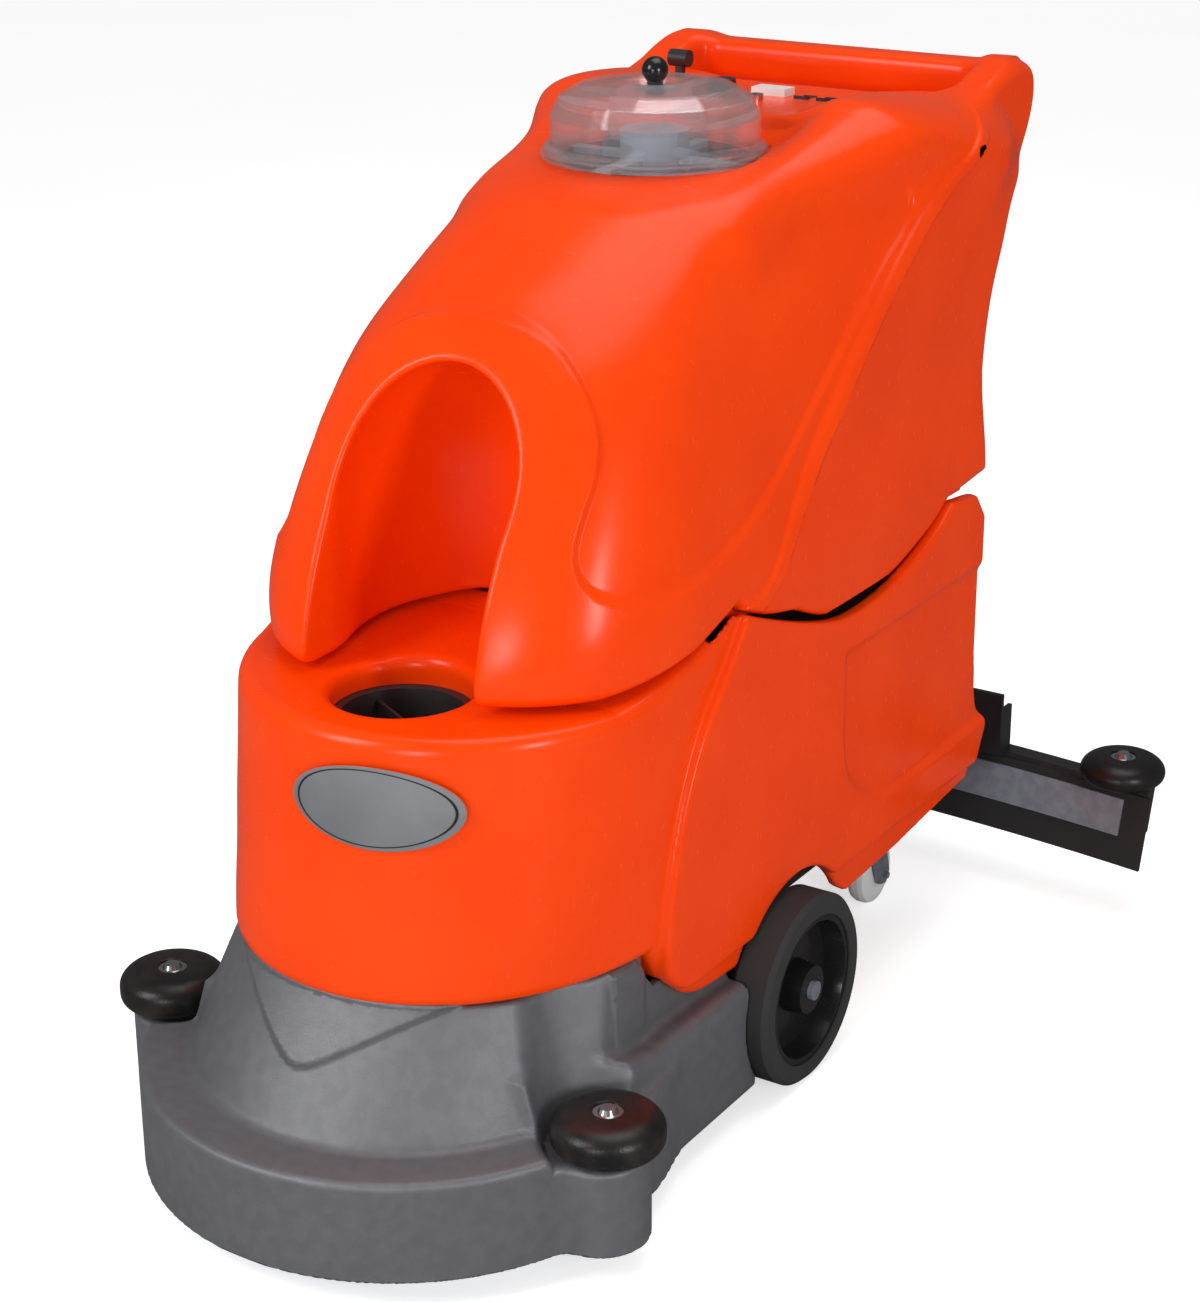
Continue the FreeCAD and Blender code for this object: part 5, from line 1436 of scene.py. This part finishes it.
# ------------------------------------------------------------------------------------------------
# The machine
# ------------------------------------------------------------------------------------------------
@dataclass
class Shells:
    """The three moulded shells."""

    recovery: RecoveryShell = field(default_factory=RecoveryShell)
    solution: SolutionShell = field(default_factory=SolutionShell)
    deck: DeckShell = field(default_factory=DeckShell)

    def build(self) -> List[bpy.types.Object]:
        """Meshes, dresses and mounts the shells.

        Returns:
            The pieces.
        """
        upper = Mesher((-240, -390, 470), (240, 556, 976), 3.5).build(
            "recovery_tank_shell", self.recovery.distance, self.recovery.hidden)
        lower = Mesher((-240, -480, 130), (240, 480, 552), 3.8).build(
            "solution_tank_shell", self.solution.distance, self.solution.hidden)
        cover = Mesher((-308, -604, 16), (308, -54, 252), 3.4).build(
            "deck_cover_shell", self.deck.distance, self.deck.hidden)
        for piece, body, node, finish in ((upper, "recovery", "recovery_tank", ORANGE),
                                          (lower, "root", "solution_tank", ORANGE),
                                          (cover, "root", "deck_cover", GREY_DECK)):
            finish.dress(piece)
            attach(piece, body)
            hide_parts(node)
        return [upper, lower, cover]


@dataclass
class SuctionHose:
    """The ribbed hose from the vacuum port to the squeegee."""

    route: Tuple[Point3, ...] = ((-42, 562, 236), (-74, 562, 236), (-122, 558, 244), (-167, 544, 272),
                                 (-190, 520, 320), (-172, 500, 369), (-126, 483, 396), (-76, 478, 405),
                                 (-42, 478, 405))
    radius: float = 18.0
    rib: float = 1.6
    pitch: float = 6.4
    sides: int = 40
    wall: float = 3.0
    lift_top: Point3 = (-0.05, 0.478, 0.402)
    lift_low: Point3 = (-0.05, 0.562, 0.24)

    def line(self) -> Tuple[Grid, Grid]:
        """Reads the smooth centreline.

        Returns:
            Its points, evenly spaced, and the length run at each.
        """
        route = np.array(self.route, float)
        knots = np.concatenate([[0.0], np.cumsum(np.linalg.norm(np.diff(route, axis=0), axis=1))])
        fine = np.linspace(0.0, knots[-1], 600)
        path = np.stack([Curve(knots, route[:, a])(fine) for a in range(3)], 1)
        run = np.concatenate([[0.0], np.cumsum(np.linalg.norm(np.diff(path, axis=0), axis=1))])
        even = np.arange(0.0, run[-1], self.pitch / 8)
        return np.stack([np.interp(even, run, path[:, a]) for a in range(3)], 1), even

    def build(self) -> bpy.types.Object:
        """Makes the hose with its ribs and bore along its curved route between the machine and the squeegee.

        Returns:
            The hose.
        """
        path, run = self.line()
        ahead = np.gradient(path, axis=0)
        ahead /= np.linalg.norm(ahead, axis=1, keepdims=True)
        side = np.zeros_like(ahead)
        side[0] = np.cross(ahead[0], (0.0, 1.0, 0.0))
        side[0] /= np.linalg.norm(side[0])
        for index in range(1, len(path)):
            turned = side[index - 1] - ahead[index] * np.dot(side[index - 1], ahead[index])
            side[index] = turned / np.linalg.norm(turned)
        across = np.cross(ahead, side)
        turn = np.linspace(0.0, 2 * np.pi, self.sides, endpoint=False)
        round_up = np.cos(turn)[None, :, None] * side[:, None] + np.sin(turn)[None, :, None] * across[:, None]
        wave = np.sqrt(np.abs(np.sin(np.pi * run / self.pitch)))
        ribbed = self.radius - self.rib + self.rib * wave
        outside = path[:, None] + round_up * ribbed[:, None, None]
        inside = path[:, None] + round_up * (self.radius - self.wall)
        rings = np.concatenate([outside, inside[::-1]])
        count = len(rings)
        here = np.arange(count)[:, None] * self.sides + np.arange(self.sides)[None]
        after = np.roll(here, -1, axis=0)
        quads = np.stack([here, np.roll(here, -1, axis=1), np.roll(after, -1, axis=1), after], -1)
        mesh = bpy.data.meshes.new("ribbed_suction_hose")
        mesh.from_pydata((rings.reshape(-1, 3) * MM).tolist(), [], quads.reshape(-1, 4).tolist())
        mesh.update()
        mesh.shade_smooth()
        hose = linked("ribbed_suction_hose", mesh)
        HOSE_GREY.dress(hose)
        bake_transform(hose)
        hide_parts("suction_hose")
        return hose


def turned(name: str, profile: Sequence[Point2], centre: Point2, steps: int = 96) -> bpy.types.Object:
    """Spins a closed profile round an upright axis.

    Args:
        name: the object's name.
        profile: its corners as radius and height, in millimetres.
        centre: the axis's X and Y, in millimetres.
        steps: facets round the turn.

    Returns:
        The object, in metres.
    """
    mesh = bpy.data.meshes.new(name)
    corners = [((centre[0] + radius) * MM, centre[1] * MM, height * MM) for radius, height in profile]
    mesh.from_pydata(corners, [(index, (index + 1) % len(corners)) for index in range(len(corners))], [])
    piece = linked(name, mesh)
    only(piece)
    bpy.ops.object.mode_set(mode="EDIT")
    bpy.ops.mesh.select_all(action="SELECT")
    bpy.ops.mesh.spin(steps=steps, angle=2 * math.pi, center=(centre[0] * MM, centre[1] * MM, 0),
                      axis=(0, 0, 1))
    bpy.ops.mesh.select_all(action="SELECT")
    bpy.ops.mesh.remove_doubles(threshold=1e-6)
    bpy.ops.mesh.normals_make_consistent(inside=False)
    bpy.ops.object.mode_set(mode="OBJECT")
    bpy.ops.object.shade_smooth_by_angle(angle=math.radians(35))
    return piece


@dataclass
class Roller:
    """A bun-shaped guide roller on its bolt."""

    node: str
    bore: float = 6.05
    washer: float = 14.3
    under: float = 12.0
    shoulder: Tuple[float, float] = (23.0, 17.0)
    crown: float = 0.6
    recess: float = 4.0

    def build(self) -> bpy.types.Object:
        """Turns the roller at its CAD node's place.

        Returns:
            The roller.
        """
        low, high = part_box(self.node)
        radius = (high.x - low.x) / 2 / MM
        foot, top = low.z / MM, high.z / MM
        wide, tall = self.shoulder
        quarter = [math.pi / 2 * step / 10 for step in range(11)]
        profile = [(self.bore, foot)]
        profile += [(radius - self.under + self.under * math.sin(a),
                     foot + self.under - self.under * math.cos(a)) for a in quarter]
        profile += [(radius - wide + wide * math.cos(a),
                     top - self.crown - tall + tall * math.sin(a)) for a in quarter]
        seat = top - self.recess
        profile += [(self.washer + 1.2, top), (self.washer, top - 0.8), (self.washer, seat),
                    (self.bore, seat)]
        centre = ((high.x + low.x) / 2 / MM, (high.y + low.y) / 2 / MM)
        roller = turned(self.node + "_bun", profile, centre)
        ROLLER_BLACK.dress(roller)
        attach(roller, self.node)
        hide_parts(self.node)
        return roller


@dataclass
class Strainer:
    """The dark cup set down inside the filler hole."""

    centre: Point2 = (0.0, -328.0)
    rim: float = 65.4
    rim_z: float = 464.0
    foot: float = 402.0
    bar: Point3 = (3.0, 108.0, 7.0)

    def build(self) -> bpy.types.Object:
        """Turns the cup and lays a bar across it.

        Returns:
            The strainer.
        """
        rim, top = self.rim, self.rim_z
        cup = turned("filler_strainer_cup", [
            (rim - 8, top - 1), (rim - 6, top), (rim, top), (rim, top - 4), (rim - 5, top - 5),
            (rim - 11, self.foot), (1, self.foot), (1, self.foot + 3), (rim - 14, self.foot + 3),
            (rim - 9, top - 8)], self.centre)
        bpy.ops.object.select_all(action="DESELECT")
        bpy.ops.mesh.primitive_cube_add(size=1, location=(0, self.centre[1] * MM, (top - 12) * MM))
        bar = bpy.context.object
        bar.scale = [length * MM for length in self.bar]
        bar.rotation_euler.z = math.radians(62)
        bpy.ops.object.transform_apply(location=True, rotation=True, scale=True)
        cup.select_set(True)
        bpy.context.view_layer.objects.active = cup
        bpy.ops.object.join()
        SATIN_BLACK.dress(cup)
        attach(cup, "root")
        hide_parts("filler_strainer")
        return cup


@dataclass
class NeckShadeRing:
    """A satin black ring inside the lid's neck: painted shade that stands in for the dark inside of the tank
    under the clear lid.
    """

    radius: float = 94.4
    thickness: float = 3.0
    low: float = 872.0
    high: float = 901.5
    middle_y: float = 108.0

    def build(self) -> bpy.types.Object:
        """Makes the ring from a cylinder's wall.

        Returns:
            The ring.
        """
        bpy.ops.object.select_all(action="DESELECT")
        bpy.ops.mesh.primitive_cylinder_add(vertices=128, radius=self.radius * MM, end_fill_type="NOTHING",
                                            depth=(self.high - self.low) * MM,
                                            location=(0, self.middle_y * MM, (self.high + self.low) / 2 * MM))
        ring = bpy.context.object
        ring.name = "neck_painted_shade_ring"
        bpy.ops.object.transform_apply(location=True, rotation=True, scale=True)
        wall = ring.modifiers.new("wall", "SOLIDIFY")
        wall.thickness = self.thickness * MM
        wall.offset = -1.0
        edge = ring.modifiers.new("edge", "BEVEL")
        edge.width = 0.0008
        edge.segments = 3
        apply_modifiers(ring)
        bpy.ops.object.shade_smooth_by_angle(angle=math.radians(40))
        # painted shade: the black ring darkens the neck's inside, where the tank lies in shade
        SATIN_BLACK.dress(ring)
        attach(ring, "recovery")
        return ring


def main() -> None:
    """Builds the scene."""
    logging.basicConfig(level=logging.INFO, format="%(message)s")
    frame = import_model()
    Studio().build()
    for name, node in frame["nodes"].items():
        finish_for(name).dress(node)
    low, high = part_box("badge_plate")
    BadgeFinish("badge_silver_oval", SILVER.colour, SILVER.shade, roughness=0.3, spread=0.12, metallic=0.75,
                mottle_scale=14.0, grain_scale=900.0, grain_bump=0.004, middle=tuple((low + high) / 2),
                half=((high.x - low.x) / 2, (high.z - low.z) / 2)).dress(frame["nodes"]["badge_plate"])
    rollers = [Roller(f"{end}_roller_{side}") for end in ("front", "squeegee")
               for side in ("left", "right")]
    details = [SuctionHose(), NeckShadeRing(), Strainer()] + rollers
    for piece in Shells().build() + [detail.build() for detail in details]:
        LOG.info("%s: %d triangles", piece.name, sum(len(p.vertices) - 2 for p in piece.data.polygons))


if __name__ == "__main__":
    main()
